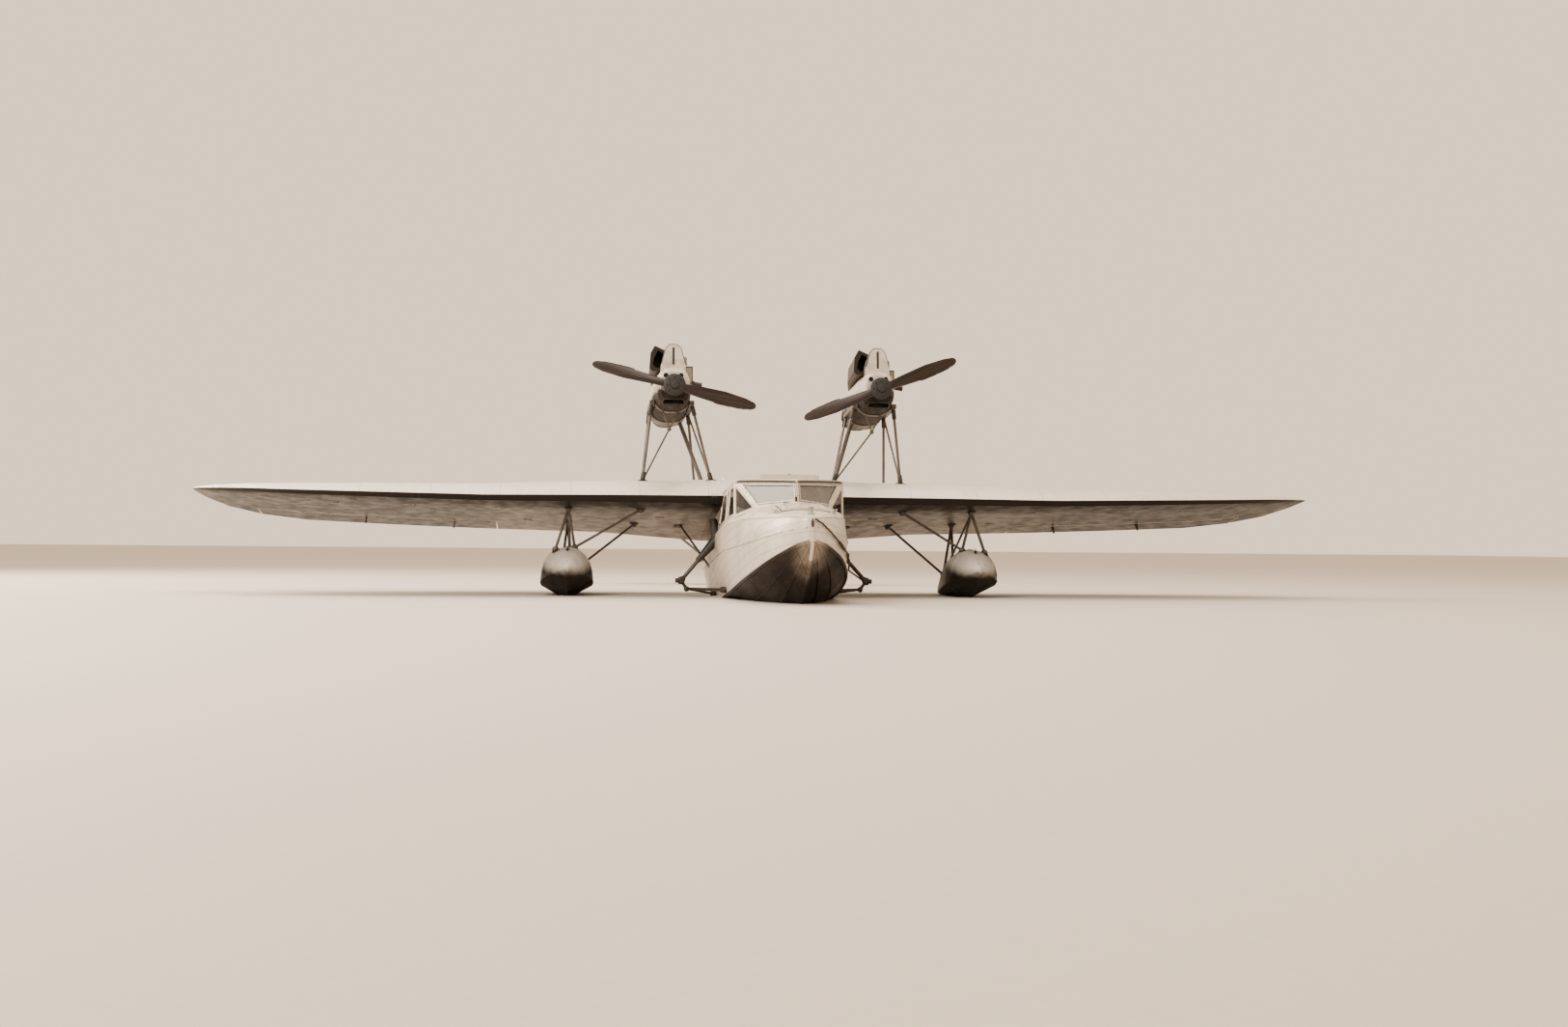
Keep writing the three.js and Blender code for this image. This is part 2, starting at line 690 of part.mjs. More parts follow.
// Landing gear legs, folded down as in use, with the axle stub but no wheel
const GEAR = {
  foot: [1112, 350, 584],
  knee: [893, 402, 846],
  shoulder: [690, 450, 1086],
  linkFoot: [1046, 370, 486],
  frontLink: [600, -330, 420],
  rearLink: [610, 900, 460],
  stub: [1182, 350, 584],
  braceTop: [1070, 1600, 1430],
  braceFoot: [690, 1150, 800],
};

function gearPoint(side, name) {
  const [x, y, z] = GEAR[name];
  return at(side * x, y, z);
}

const GEAR_BARS = [
  // from, to, width, depth, sides
  ['foot', 'shoulder', 46, 60, 10],
  ['frontLink', 'linkFoot', 36, 46, 8],
  ['rearLink', 'linkFoot', 28, 36, 8],
  ['linkFoot', 'foot', 38, 50, 8],
  ['foot', 'stub', 56, 56, 12],
];
const GEAR_BALLS = { knee: 38, foot: 48, linkFoot: 36 };
const STAY = { width: 26, depth: 36, ball: 34 };

function gearLegs(side, hullSide, bottom) {
  const bars = GEAR_BARS.map(([from, to, ...size]) => (
    strut(gearPoint(side, from), gearPoint(side, to), ...size)));
  const balls = Object.entries(GEAR_BALLS).map(([name, radius]) => ball(gearPoint(side, name), radius));
  return cutBy(cutBy(together([...bars, ...balls]), hullSide, side, 0, 0), bottom, side, 0, 0);
}

// Thin stay from the wing's rear spar down to the hull side, above the gear legs
function gearStay(side, panel, hullSide) {
  const top = gearPoint(side, 'braceTop');
  const stay = strut(top, gearPoint(side, 'braceFoot'), STAY.width, STAY.depth).add(ball(top, STAY.ball));
  return cutBy(cutBy(stay, panel, 0, 0, -1), hullSide, side, 0, 0);
}

// Tail
const TAIL = {
  z: 2120,
  hingeY: 6900,
  halfSpan: 2000,
  nose: 26,
  rudderY: 7030,
  lugs: [0.08, 0.5, 0.9],
  lugHigh: 22,
  elevatorIn: 120,
  elevatorOut: 1990,
  // Inner end of the elevator, cut back to clear the rudder: x, y
  cutBack: [[400, 7400], [190, 7080], [120, 7000]],
  rudderLugs: [1640, 2180, 2680],
};
const TAILPLANE_LINES = [
  // x, leadY, trailY, thickness ratio
  [0, 6120, 7320, 0.085],
  [900, 6170, 7320, 0.085],
  [1600, 6300, 7290, 0.08],
  [1880, 6440, 7180, 0.08],
  [2000, 6640, 6980, 0.07],
];
const FIN_LINES = [
  // z, leadY, trailY, thickness
  [1500, 5640, 6986, 110],
  [1750, 5860, 6986, 96],
  [2200, 6170, 6986, 82],
  [2560, 6400, 6986, 66],
  [2700, 6560, 6986, 54],
  [2755, 6760, 6986, 44],
];
const RUDDER_LINES = [
  // z, trailY, thickness
  [1390, 7240, 66],
  [1450, 7390, 70],
  [1650, 7500, 70],
  [1980, 7540, 66],
  [2350, 7510, 60],
  [2620, 7410, 52],
  [2760, 7270, 44],
  [2800, 7150, 40],
];

function tailRing(side, [x, leadY, trailY, ratio]) {
  return wingRing([side * x, leadY, TAIL.z, trailY, TAIL.z, ratio, 0]);
}

function tailForm() {
  const port = TAILPLANE_LINES.map((line) => tailRing(1, line));
  const starboard = TAILPLANE_LINES.slice(1).map((line) => tailRing(-1, line)).reverse();
  return loft([...starboard, ...port]);
}

function elevator(side, form) {
  const { hingeY, nose, z, elevatorIn, elevatorOut, halfSpan } = TAIL;
  const zone = planBlock([
    [side * elevatorIn, hingeY],
    [side * (halfSpan + 50), hingeY],
    [side * (halfSpan + 50), 7400],
    ...TAIL.cutBack.map(([x, y]) => [side * x, y]),
  ], z - 200, z + 200);
  const bar = taperedBar(at(side * elevatorIn, hingeY, z), at(side * elevatorOut, hingeY, z),
    nose, nose * 0.7);
  const cap = form.intersect(planBlock([
    [side * (elevatorIn - 10), hingeY - 80],
    [side * halfSpan, hingeY - 80],
    [side * halfSpan, hingeY + 80],
    [side * (elevatorIn - 10), hingeY + 80],
  ], z - 200, z + 200));
  return form.intersect(zone).add(bar.intersect(cap));
}

function tailLugs(side) {
  const { hingeY, nose, z, elevatorIn, elevatorOut, lugs, lugHigh } = TAIL;
  return hingeLugs(lugs, at(side * elevatorIn, hingeY, z), at(side * elevatorOut, hingeY, z),
    nose, nose * 0.7, lugHigh);
}

function finForm() {
  return loft(FIN_LINES.map(([z, leadY, trailY, thick]) => {
    const half = thick / 2;
    const length = trailY - leadY;
    return [
      at(0, leadY, z),
      at(half * 0.75, leadY + length * 0.15, z),
      at(half, leadY + length * 0.45, z),
      at(half * 0.8, trailY, z),
      at(-half * 0.8, trailY, z),
      at(-half, leadY + length * 0.45, z),
      at(-half * 0.75, leadY + length * 0.15, z),
    ];
  }));
}

const RUDDER_NOSE = [45, 90, 135];

function rudderForm() {
  const { rudderY } = TAIL;
  return loft(RUDDER_LINES.map(([z, trailY, thick]) => {
    const half = thick / 2;
    const nose = RUDDER_NOSE.map((deg) => {
      const turn = THREE.MathUtils.degToRad(deg);
      return at(-half * Math.cos(turn), rudderY - half * Math.sin(turn), z);
    });
    return [
      at(half, rudderY, z),
      at(half * 0.5, rudderY + (trailY - rudderY) * 0.55, z),
      at(3, trailY, z),
      at(-3, trailY, z),
      at(-half * 0.5, rudderY + (trailY - rudderY) * 0.55, z),
      at(-half, rudderY, z),
      ...nose,
    ];
  }));
}

// Lugs on the fin and its foot that run on the rudder's round nose
function rudderLugs() {
  const bore = loft(RUDDER_LINES.map(([z, , thick]) => {
    const radius = (thick / 2 + LUG.run) / Math.cos(Math.PI / LUG.sides);
    return Array.from({ length: LUG.sides }, (_, k) => {
      const turn = (k / LUG.sides) * 2 * Math.PI;
      return at(radius * Math.cos(turn), TAIL.rudderY + radius * Math.sin(turn), z);
    });
  }));
  const lugs = TAIL.rudderLugs.map((z) => (
    block(-11, 11, 6960, TAIL.rudderY - 16, z - 16, z + 16)));
  return together(lugs).subtract(bore);
}

const TAIL_STRUT = {
  root: [140, 6440, 1300],
  rootBall: 60,
  tips: [[1080, 6420], [1040, 6740]],
  tipBall: 34,
  below: 44,
  width: 30,
  depth: 52,
};

function tailStruts(side, form, aft) {
  const { tips, below, width, depth, rootBall, tipBall } = TAIL_STRUT;
  const root = at(side * TAIL_STRUT.root[0], ...TAIL_STRUT.root.slice(1));
  const bars = together([
    ball(root, rootBall),
    ...tips.map(([x, y]) => at(side * x, y, TAIL.z - below))
      .flatMap((tip) => [strut(root, tip, width, depth), ball(tip, tipBall)]),
  ]);
  return cutBy(cutBy(bars, form, 0, 0, -1), aft, side, 0, 0);
}

// Cabin front: a screen pointed in plan, one pane each side of its centre post, and a
// three-cornered pane behind each
const SCREEN = {
  // x, y, z
  low: [0, -1841, 1247],
  outerLow: [403, -1419, 1234],
  outerTop: [606, -1051, 1572],
  top: [0, -1736, 1478],
  plate: 30,
};
// Share of the screen's width and height that the pane leaves to its frame at each edge
const PANE = { post: 0.035, pillar: 0.9, sill: 0.13, lintel: 0.9 };
const PILLAR_FOOT = [606, PILLAR_Y, 1175];
const QUARTER = { outer: 1.04, hole: 0.78, glass: 0.778, plate: 28 };

// A point of the screen, by its share of the width from the post and of the height
function screenPoint(side, across, up) {
  const at3 = (k) => {
    const low = SCREEN.low[k] + (SCREEN.outerLow[k] - SCREEN.low[k]) * across;
    const top = SCREEN.top[k] + (SCREEN.outerTop[k] - SCREEN.top[k]) * across;
    return low + (top - low) * up;
  };
  return [side * at3(0), at3(1), at3(2)];
}

// The part of the screen between two shares of its width and two of its height, with its
// thickness along y
function screenPlate(side, [left, right, low, high], thick) {
  const corners = [[left, low], [right, low], [right, high], [left, high]];
  return loft([-thick / 2, thick / 2].map((off) => corners.map(([across, up]) => {
    const [x, y, z] = screenPoint(side, across, up);
    return at(x, y + off, z);
  })));
}

function screenPane(side, thick, margin) {
  const { post, pillar, sill, lintel } = PANE;
  return screenPlate(side, [post + margin, pillar - margin, sill + margin, lintel - margin], thick);
}

function insetTriangle(corners, share) {
  const middle = [0, 1, 2].map((k) => corners.reduce((sum, c) => sum + c[k], 0) / 3);
  return corners.map((c) => c.map((v, k) => middle[k] + (v - middle[k]) * share));
}

function quarterPane(side, share, thick) {
  const corners = insetTriangle([SCREEN.outerLow, PILLAR_FOOT, SCREEN.outerTop], share);
  return loft([-thick / 2, thick / 2].map((off) => (
    corners.map(([x, y, z]) => at(side * (x + off), y, z)))));
}

// Everything above the roof's under side
function aboveRoof() {
  return loft(ROOF_LINES.map(([y, edgeX, edgeZ, crownZ]) => {
    const drop = ROOF_THICK + GAP;
    const under = deckArc(y, edgeX, edgeZ - drop, crownZ - drop);
    return [at(900, y, 2200), at(900, y, edgeZ - drop), ...under,
      at(-900, y, edgeZ - drop), at(-900, y, 2200)];
  }));
}

function screenFrame(neighbours) {
  const sides = Object.values(SIDES);
  const plates = sides.map((side) => screenPlate(side, [-0.02, 1.02, -0.1, 1.15], SCREEN.plate));
  const quarters = sides.map((side) => (
    quarterPane(side, QUARTER.outer, QUARTER.plate).subtract(quarterPane(side, QUARTER.hole, 80))));
  const panes = sides.map((side) => screenPane(side, 200, 0));
  const frame = together([...plates, ...quarters]).subtract(together([...panes, aboveRoof()]));
  return neighbours.reduce((piece, [solid, x, y, z]) => cutBy(piece, solid, x, y, z), frame);
}

// Side windows as corners [y, z]. The rear one runs back under the wing.
const WINDOWS = {
  front: [[-990, 1280], [-960, 1226], [-540, 1226], [-480, 1280], [-480, 1490], [-530, 1530],
    [-990, 1530]],
  rear: [[-400, 1280], [-350, 1226], [380, 1226], [430, 1280], [430, 1380], [400, 1410],
    [60, 1440], [-70, 1530], [-350, 1530], [-400, 1490]],
};

function wallShell(side, inset, thick) {
  return loft(WALL_LINES.map(([y, sillX, roofX]) => [
    at(side * (sillX - inset), y, SILL_Z - 30),
    at(side * (roofX - inset), y, WALL_TOP),
    at(side * (roofX - inset - thick), y, WALL_TOP),
    at(side * (sillX - inset - thick), y, SILL_Z - 30),
  ]), [2]);
}

function windowHole(outline, share) {
  const middle = [0, 1].map((k) => outline.reduce((sum, p) => sum + p[k], 0) / outline.length);
  return sideBlock(outline.map((p) => p.map((v, k) => middle[k] + (v - middle[k]) * share)),
    -900, 900);
}

function cabinSide(side, outer, cavity, centre) {
  const half = block(side * 300, side * 900, -1700, CABIN_END - GAP, 100, 1700);
  const lower = outer.subtract(cavity).intersect(half);
  const holes = together(Object.values(WINDOWS).map((outline) => windowHole(outline, 1)));
  const upper = wallShell(side, 0, WALL).intersect(half).subtract(holes.add(aboveRoof()));
  return cutBy(cutBy(cutBy(lower.add(upper), centre, 0, 0, -1), centre, 0, 0, 1), centre, 0, -1, 0);
}

// Roof ahead of the wing, and the tray-shaped lid over its hatch
const HATCH = { x: 300, front: -1110, rear: -560, rim: 34, rise: 48, sheet: 14 };

function underRoof(rise) {
  return loft(ROOF_LINES.map(([y, edgeX, edgeZ, crownZ]) => [
    ...deckArc(y, edgeX, edgeZ + rise, crownZ + rise), at(-edgeX, y, 1000), at(edgeX, y, 1000),
  ]));
}

function roofForm() {
  const { tip, corner, halfWidth } = ROOF_FRONT;
  const plan = planBlock([[-700, 600], [-700, corner], [-halfWidth, corner], [0, tip],
    [halfWidth, corner], [700, corner], [700, 600]], 1000, 2200);
  return underRoof(0).subtract(underRoof(-ROOF_THICK)).intersect(plan);
}

function roofHatch() {
  const { x, front, rear, rim, rise, sheet } = HATCH;
  const box = (edge) => block(-x - edge, x + edge, front - edge, rear + edge, 1400, 2000);
  return underRoof(rise).intersect(box(rim))
    .subtract(underRoof(rise - sheet).intersect(box(rim - sheet)))
    .subtract(underRoof(GAP));
}

// Bow deck with its mooring hatch
const BOW_HATCH = { x: 215, front: -2420, rear: -1985, depth: 300, lid: 18, lip: 30 };
const HANDLE = { halfWidth: 60, bar: 16, front: 40, foot: 1090, top: 1180 };

function bowDeck() {
  const well = block(-BOW_HATCH.x, BOW_HATCH.x, BOW_HATCH.front, BOW_HATCH.rear,
    1000 - BOW_HATCH.depth, 1400);
  return loft(BOW_LINES.map(topsideRing)).subtract(well);
}

function bowLid() {
  const { x, front, rear, lid, lip } = BOW_HATCH;
  const rings = BOW_LINES.slice(3).map(([y, , , , , , edgeX, edgeZ, crownZ]) => [
    ...deckArc(y, edgeX, edgeZ + GAP + lid, crownZ + GAP + lid),
    ...deckArc(y, edgeX, edgeZ - 8, crownZ - 8).reverse(),
  ]);
  const near = front + HANDLE.front;
  const far = near + HANDLE.bar + 4;
  const { halfWidth, bar, foot, top } = HANDLE;
  const handle = together([
    block(-halfWidth, bar - halfWidth, near, far, foot, top),
    block(halfWidth - bar, halfWidth, near, far, foot, top),
    block(-halfWidth, halfWidth, near, far, top - bar, top),
  ]);
  const sheet = loft(rings).intersect(block(-x - lip, x + lip, front - lip, rear + lip, 900, 1400));
  return cutBy(sheet.add(handle), loft(BOW_LINES.map(topsideRing)), 0, 0, 1);
}

// Mooring post at the stem head
const POST = { y: -2815, foot: 960, top: 1088, radius: 22, cap: 32, capHigh: 22 };

function bollard(deck) {
  const { y, foot, top, radius, cap, capHigh } = POST;
  const stem = strut(at(0, y, foot), at(0, y, top), radius * 2, radius * 2, 12);
  const head = strut(at(0, y, top - capHigh), at(0, y, top), cap * 2, cap * 2, 12);
  return cutBy(stem.add(head), deck, 0, 0, 1);
}

// Cabin furniture: floor boards, two rows of two seats, and the panel with its two wheels
const FLOOR_Z = 470;
const FLOOR_FRONT = BOW_END + 6;

const BOARD = 24;
const BOARD_LINES = [
  // y, half-width
  [FLOOR_FRONT, 500],
  [-1000, 525],
  [CABIN_END - 5, 580],
];
const KEELSON = { halfWidth: 60, low: 300 };
const SEAT = {
  halfWidth: 210,
  front: -230,
  rear: 200,
  high: 330,
  backFront: 150,
  backRear: 240,
  backHigh: 860,
};
const SEAT_X = 280;
const SEAT_ROWS = { front: -620, rear: 420 };

function seat(x, y) {
  const { halfWidth, front, rear, high, backFront, backRear, backHigh } = SEAT;
  return together([
    block(x - halfWidth, x + halfWidth, y + front, y + rear, FLOOR_Z + BOARD + GAP, FLOOR_Z + high),
    block(x - halfWidth, x + halfWidth, y + backFront, y + backRear, FLOOR_Z + BOARD + GAP,
      FLOOR_Z + backHigh),
  ]);
}

function cabinFloor(bottom) {
  const board = loft(BOARD_LINES.map(([y, x]) => [
    at(-x, y, FLOOR_Z), at(x, y, FLOOR_Z), at(x, y, FLOOR_Z + BOARD), at(-x, y, FLOOR_Z + BOARD),
  ]));
  const keelson = block(-KEELSON.halfWidth, KEELSON.halfWidth, FLOOR_FRONT, CABIN_END - 5,
    KEELSON.low, FLOOR_Z + BOARD / 2);
  return cutBy(board.add(keelson), bottom, 0, 0, 1);
}

const WHEEL = { x: 270, y: -1225, z: 1061, radius: 140, rim: 13, spoke: 8, column: 34 };
const PANEL = { front: -1398, rear: -1372, halfWidth: 455, low: 850, high: 1150, legX: 300, leg: 20 };

function controlWheel(x) {
  const { y, z, radius, rim, spoke, column } = WHEEL;
  const ring = new THREE.TorusGeometry(radius, rim, 6, 20);
  return together([
    solidOf(ring.rotateX(Math.PI / 2).translate(x, y, z)),
    block(x - radius, x + radius, y - spoke, y + spoke, z - spoke, z + spoke),
    strut(at(x, y, z), at(x, PANEL.front, z), column, column),
  ]);
}

function instrumentPanel() {
  const { front, rear, halfWidth, low, high, legX, leg } = PANEL;
  const board = block(-halfWidth, halfWidth, front, rear, low, high);
  const legs = [-legX, legX].map((x) => (
    block(x - leg, x + leg, front, rear, FLOOR_Z + BOARD + GAP, low + leg)));
  return together([board, ...legs, controlWheel(-WHEEL.x), controlWheel(WHEEL.x)]);
}

// Assembly
const craft = new THREE.Group();
craft.rotation.x = -TRIM;
craft.position.z = -WATER_AT_ORIGIN * Math.cos(TRIM);

function add(name, solid, finish) {
  const mesh = new THREE.Mesh(geometryOf(solid), new THREE.MeshStandardMaterial(finish));
  mesh.name = name;
  craft.add(mesh);
}

const foreBottom = loft([...BOW_LINES, ...CABIN_LINES.slice(1)].map(bottomRing));
const aftBottom = loft(AFT_LINES.map((line, k) => (
  bottomRing(k === 0 ? [line[0] + GAP, ...line.slice(1)] : line))));
const centreWing = loft([-PANEL_X, PANEL_X].map((x) => wingRing([x, ...WING_LINES[0].slice(1)])));
const bow = bowDeck();
const cabinOuter = loft(CABIN_LINES.map((line, k) => (
  cabinRing(k === 0 ? [line[0] + GAP, ...line.slice(1)] : line, 0))));
const cavityLines = [[BOW_END - 100, ...CABIN_LINES[0].slice(1)], ...CABIN_LINES,
  [CABIN_END + 200, ...CABIN_LINES.at(-1).slice(1)]];
const filledCabin = cabinOuter.add(loft(WALL_LINES.map(([y, sillX, roofX]) => [
  at(-sillX, y, SILL_Z - 30),
  at(-roofX, y, WALL_TOP),
  at(roofX, y, WALL_TOP),
  at(sillX, y, SILL_Z - 30),
])));
const cabinCavity = loft(cavityLines.map((line) => cabinRing(line, WALL)));
const walls = {};
Object.entries(SIDES).forEach(([name, side]) => {
  walls[name] = cabinSide(side, cabinOuter, cabinCavity, centreWing);
});
const roofBlank = Object.values(walls).reduce((piece, wall) => cutBy(piece, wall, 0, 0, 1),
  cutBy(roofForm(), centreWing, 0, 0, 1));
const hatchHole = block(-HATCH.x, HATCH.x, HATCH.front, HATCH.rear, 1500, 2000);
const roof = roofBlank.subtract(hatchHole);
const panels = {};
Object.entries(SIDES).forEach(([name, side]) => {
  panels[name] = wingPanel(side);
});
const aftSolid = loft(AFT_LINES.map((line, k) => (
  topsideRing(k === 0 ? [CABIN_END, ...line.slice(1)] : line))));
const aftCuts = [[centreWing, 0, 0, 1], [centreWing, 0, 0, -1], [centreWing, 0, 1, 0],
  [panels.port, 0, 0, 1], [panels.port, 0, 0, -1],
  [panels.starboard, 0, 0, 1], [panels.starboard, 0, 0, -1]];
const aft = aftCuts.reduce((piece, [solid, x, y, z]) => cutBy(piece, solid, x, y, z), aftSolid);

add('planing_bottom', foreBottom, BLACK);
add('afterbody_bottom', aftBottom, BLACK);
add('bow_deck', bow, SILVER);
add('aft_fuselage', aft, SILVER);
add('cabin_roof', roof, SILVER);
add('wing_centre', centreWing, SILVER);
add('roof_hatch', roofHatch(), SILVER);
add('bow_hatch', bowLid(), SILVER);
add('bollard', bollard(bow), DARK_STEEL);
add('cabin_floor', cabinFloor(foreBottom), PLY);
add('instrument_panel', instrumentPanel(), DARK_STEEL);

const frameNeighbours = [[bow, 0, 0, 1], [bow, 0, 1, 0], [roof, 0, 0, -1], [roof, 0, -1, 0]];
Object.entries(SIDES).forEach(([name, side]) => {
  const wall = walls[name];
  frameNeighbours.push([wall, 0, -1, 0], [wall, 0, 0, 1], [wall, -side, 0, 0]);
});
add('windscreen_frame', screenFrame(frameNeighbours), SILVER);

const tailBlank = tailForm();
const tailZone = planBlock([
  [-2100, TAIL.hingeY - TAIL.nose - 8], [2100, TAIL.hingeY - TAIL.nose - 8], [2100, 7500], [-2100, 7500],
], TAIL.z - 300, TAIL.z + 300);
const tailplane = together([tailBlank.subtract(tailZone), tailLugs(-1), tailLugs(1)]);
const finBlank = cutBy(cutBy(finForm().add(rudderLugs()), aft, 0, 0, 1), aft, 0, 1, 0);
const fin = [[0, 0, 1], [0, 0, -1], [0, -1, 0], [0, 1, 0]].reduce(
  (piece, [x, y, z]) => cutBy(piece, tailplane, x, y, z), finBlank);
add('tailplane', tailplane, SILVER);
add('fin', fin, SILVER);
add('rudder', rudderForm(), SILVER);

Object.entries(SIDES).forEach(([name, side]) => {
  const x = side * ENGINE_X;
  const wall = walls[name];
  const { slot, endGap, noseIn, noseOut } = AILERON;
  const fixedPanel = panels[name].subtract(
    aileronZone(side, endGap, noseIn + slot, noseOut + slot)).add(aileronLugs(side));
  const housing = nacelle(x);
  const cowl = cutBy(cowlForm(x), nacelleForm(x, 0), 0, 0, 1);
  const intake = [[nacelleForm(x, 0), 0, 0, 1], [cowlForm(x), -1, 0, 0], [cowlForm(x), 0, 1, 0]].reduce(
    (piece, [solid, dx, dy, dz]) => cutBy(piece, solid, dx, dy, dz), scoop(x));
  const stack = [[nacelleForm(x, 0), 1, 0, 0], [nacelleForm(x, 0), 0, 0, 1],
    [cowlForm(x), 1, 0, 0]].reduce(
    (piece, [solid, dx, dy, dz]) => cutBy(piece, solid, dx, dy, dz), exhaust(x));
  const body = floatHull(side);

  add(`cabin_side_${name}`, wall, SILVER);
  Object.entries(SEAT_ROWS).forEach(([row, y]) => {
    add(`seat_${row}_${name}`, seat(side * SEAT_X, y), LEATHER);
  });
  add(`wing_${name}`, fixedPanel, SILVER);
  add(`aileron_${name}`, aileron(side, panels[name]), SILVER);
  add(`windscreen_pane_${name}`, screenPane(side, GLASS * 1.6, 0.0008), CLEAR);
  add(`quarter_pane_${name}`, quarterPane(side, QUARTER.glass, GLASS), CLEAR);
  Object.entries(WINDOWS).forEach(([place, outline]) => {
    const glass = wallShell(side, 18, GLASS).intersect(windowHole(outline, 0.998));
    add(`${place}_window_${name}`, glass, CLEAR);
  });
  add(`nacelle_${name}`, housing, SILVER);
  add(`engine_block_${name}`, engineBlock(x), IRON);
  add(`cylinder_cowl_${name}`, cowl, SILVER);
  add(`air_scoop_${name}`, intake, SILVER);
  add(`exhaust_${name}`, stack, DARK_STEEL);
  add(`propeller_${name}`, propeller(x, BLADE_TURN[name]), WOOD);
  add(`engine_mount_${name}`, trestle(side, fixedPanel), DARK_STEEL);
  add(`float_${name}`, body, SILVER);
  add(`float_struts_${name}`, floatStruts(side, fixedPanel, body), DARK_STEEL);
  add(`gear_legs_${name}`, gearLegs(side, filledCabin, foreBottom), DARK_STEEL);
  add(`gear_stay_${name}`, gearStay(side, fixedPanel, filledCabin), DARK_STEEL);
  add(`elevator_${name}`, elevator(side, tailBlank), SILVER);
  add(`tail_struts_${name}`, tailStruts(side, tailplane, aft), DARK_STEEL);
});

export default craft;
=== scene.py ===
"""The looks of a small twin-engined flying boat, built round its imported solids."""

import json
from math import copysign, cos, exp, pi, radians, sin

import bmesh
import bpy
from mathutils import Matrix, Vector
from mathutils.bvhtree import BVHTree

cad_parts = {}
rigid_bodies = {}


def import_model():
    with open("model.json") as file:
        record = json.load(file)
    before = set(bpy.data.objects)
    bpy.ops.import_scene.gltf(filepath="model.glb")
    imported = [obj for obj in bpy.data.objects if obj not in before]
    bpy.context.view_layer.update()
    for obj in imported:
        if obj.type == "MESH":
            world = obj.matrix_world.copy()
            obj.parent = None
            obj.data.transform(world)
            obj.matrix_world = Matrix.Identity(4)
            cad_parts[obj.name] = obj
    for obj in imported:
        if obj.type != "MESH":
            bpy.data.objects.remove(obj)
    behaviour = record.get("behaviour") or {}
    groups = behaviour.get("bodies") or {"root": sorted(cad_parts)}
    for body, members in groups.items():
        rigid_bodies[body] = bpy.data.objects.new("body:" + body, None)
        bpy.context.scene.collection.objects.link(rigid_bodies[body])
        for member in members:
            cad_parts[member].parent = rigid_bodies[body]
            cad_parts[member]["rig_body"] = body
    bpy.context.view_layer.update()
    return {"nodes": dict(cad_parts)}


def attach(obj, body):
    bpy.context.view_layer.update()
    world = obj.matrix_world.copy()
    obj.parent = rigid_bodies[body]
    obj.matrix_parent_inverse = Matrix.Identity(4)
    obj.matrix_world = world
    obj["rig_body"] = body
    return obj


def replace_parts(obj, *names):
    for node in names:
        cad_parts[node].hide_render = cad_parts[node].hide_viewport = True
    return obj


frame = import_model()
scene = bpy.context.scene
SIDES = (("starboard", -1), ("port", 1))
UP, DOWN, AHEAD, AFT = (0, 0, 1), (0, 0, -1), (0, -1, 0), (0, 1, 0)
# Heights over and under the craft, and places ahead of the engines and beside the hull, in mm
HIGH, LOW, FRONT, ABEAM = 3600, -300, -300, 900

# Where things are: craft places in mm from the wing's leading edge and the keel, the scene in m

# The craft floats with its bow up by this angle, and this far down at the step.
TRIM = radians(6)
DRAUGHT = 0.35306


def at(x, y, z):
    """A place on the craft, as it floats."""
    x, y, z = x / 1000, y / 1000, z / 1000
    return Vector((x, y * cos(TRIM) + z * sin(TRIM), z * cos(TRIM) - y * sin(TRIM) - DRAUGHT))


def toward(x, y, z):
    """A direction of the craft, as it floats."""
    return (at(x * 1000, y * 1000, z * 1000) - at(0, 0, 0)).normalized()


def placed(place):
    """A craft place, or one that is in the scene already."""
    return place if isinstance(place, Vector) else at(*place)


def aimed(direction):
    """A unit direction, given along the craft's axes or in the scene already."""
    return direction.normalized() if isinstance(direction, Vector) else toward(*direction)


def angles(count, ends=0):
    """Even steps round a circle, with the first again at the end where a loop closes."""
    return [2 * pi * k / count for k in range(count + ends)]


def circle(centre, axis, radius, steps, ends=0):
    """Places round an axis, at a radius in mm."""
    side = axis.orthogonal().normalized()
    other = axis.cross(side)
    return [centre + (side * cos(a) + other * sin(a)) * radius / 1000 for a in angles(steps, ends)]


def between(start, end, share):
    return tuple(a + (b - a) * share for a, b in zip(start, end))


def line(start, end, count):
    """That many places, evenly from start to end."""
    return [between(start, end, k / (count - 1)) for k in range(count)]


def along_table(table, count):
    """Places run evenly through a table of places."""
    steps = [(Vector(b) - Vector(a)).length for a, b in zip(table, table[1:])]
    places = []
    for k in range(count):
        left = sum(steps) * k / (count - 1)
        for a, b, step in zip(table, table[1:], steps):
            if left <= step or b == table[-1]:
                places.append(between(a, b, min(1, left / step)))
                break
            left -= step
    return places


def linked(name, data):
    """An object in the scene."""
    thing = bpy.data.objects.new(name, data)
    scene.collection.objects.link(thing)
    return thing


def mesh_of(bm, name):
    """Ends a bmesh as a mesh."""
    mesh = bpy.data.meshes.new(name)
    bm.to_mesh(mesh)
    bm.free()
    return mesh


def evaluated(piece):
    """A plain mesh of a piece as its modifiers leave it."""
    depsgraph = bpy.context.evaluated_depsgraph_get()
    return bpy.data.meshes.new_from_object(piece.evaluated_get(depsgraph), depsgraph=depsgraph)


def level(run, facing):
    """A direction turned to lie along a surface that faces so."""
    return (run - facing * run.dot(facing)).normalized()


# Camera

PHOTO_WIDTH = 1625
FOCAL_PIXELS = 1873.5
ROLL = 0.014615
ahead = Vector((0.1202, 0.9926, 0.01698)).normalized()
level_right = Vector((0.99274, -0.12011, -0.00647)).normalized()
level_up = level_right.cross(ahead)
right = level_right * cos(ROLL) + level_up * sin(ROLL)
up = right.cross(ahead)

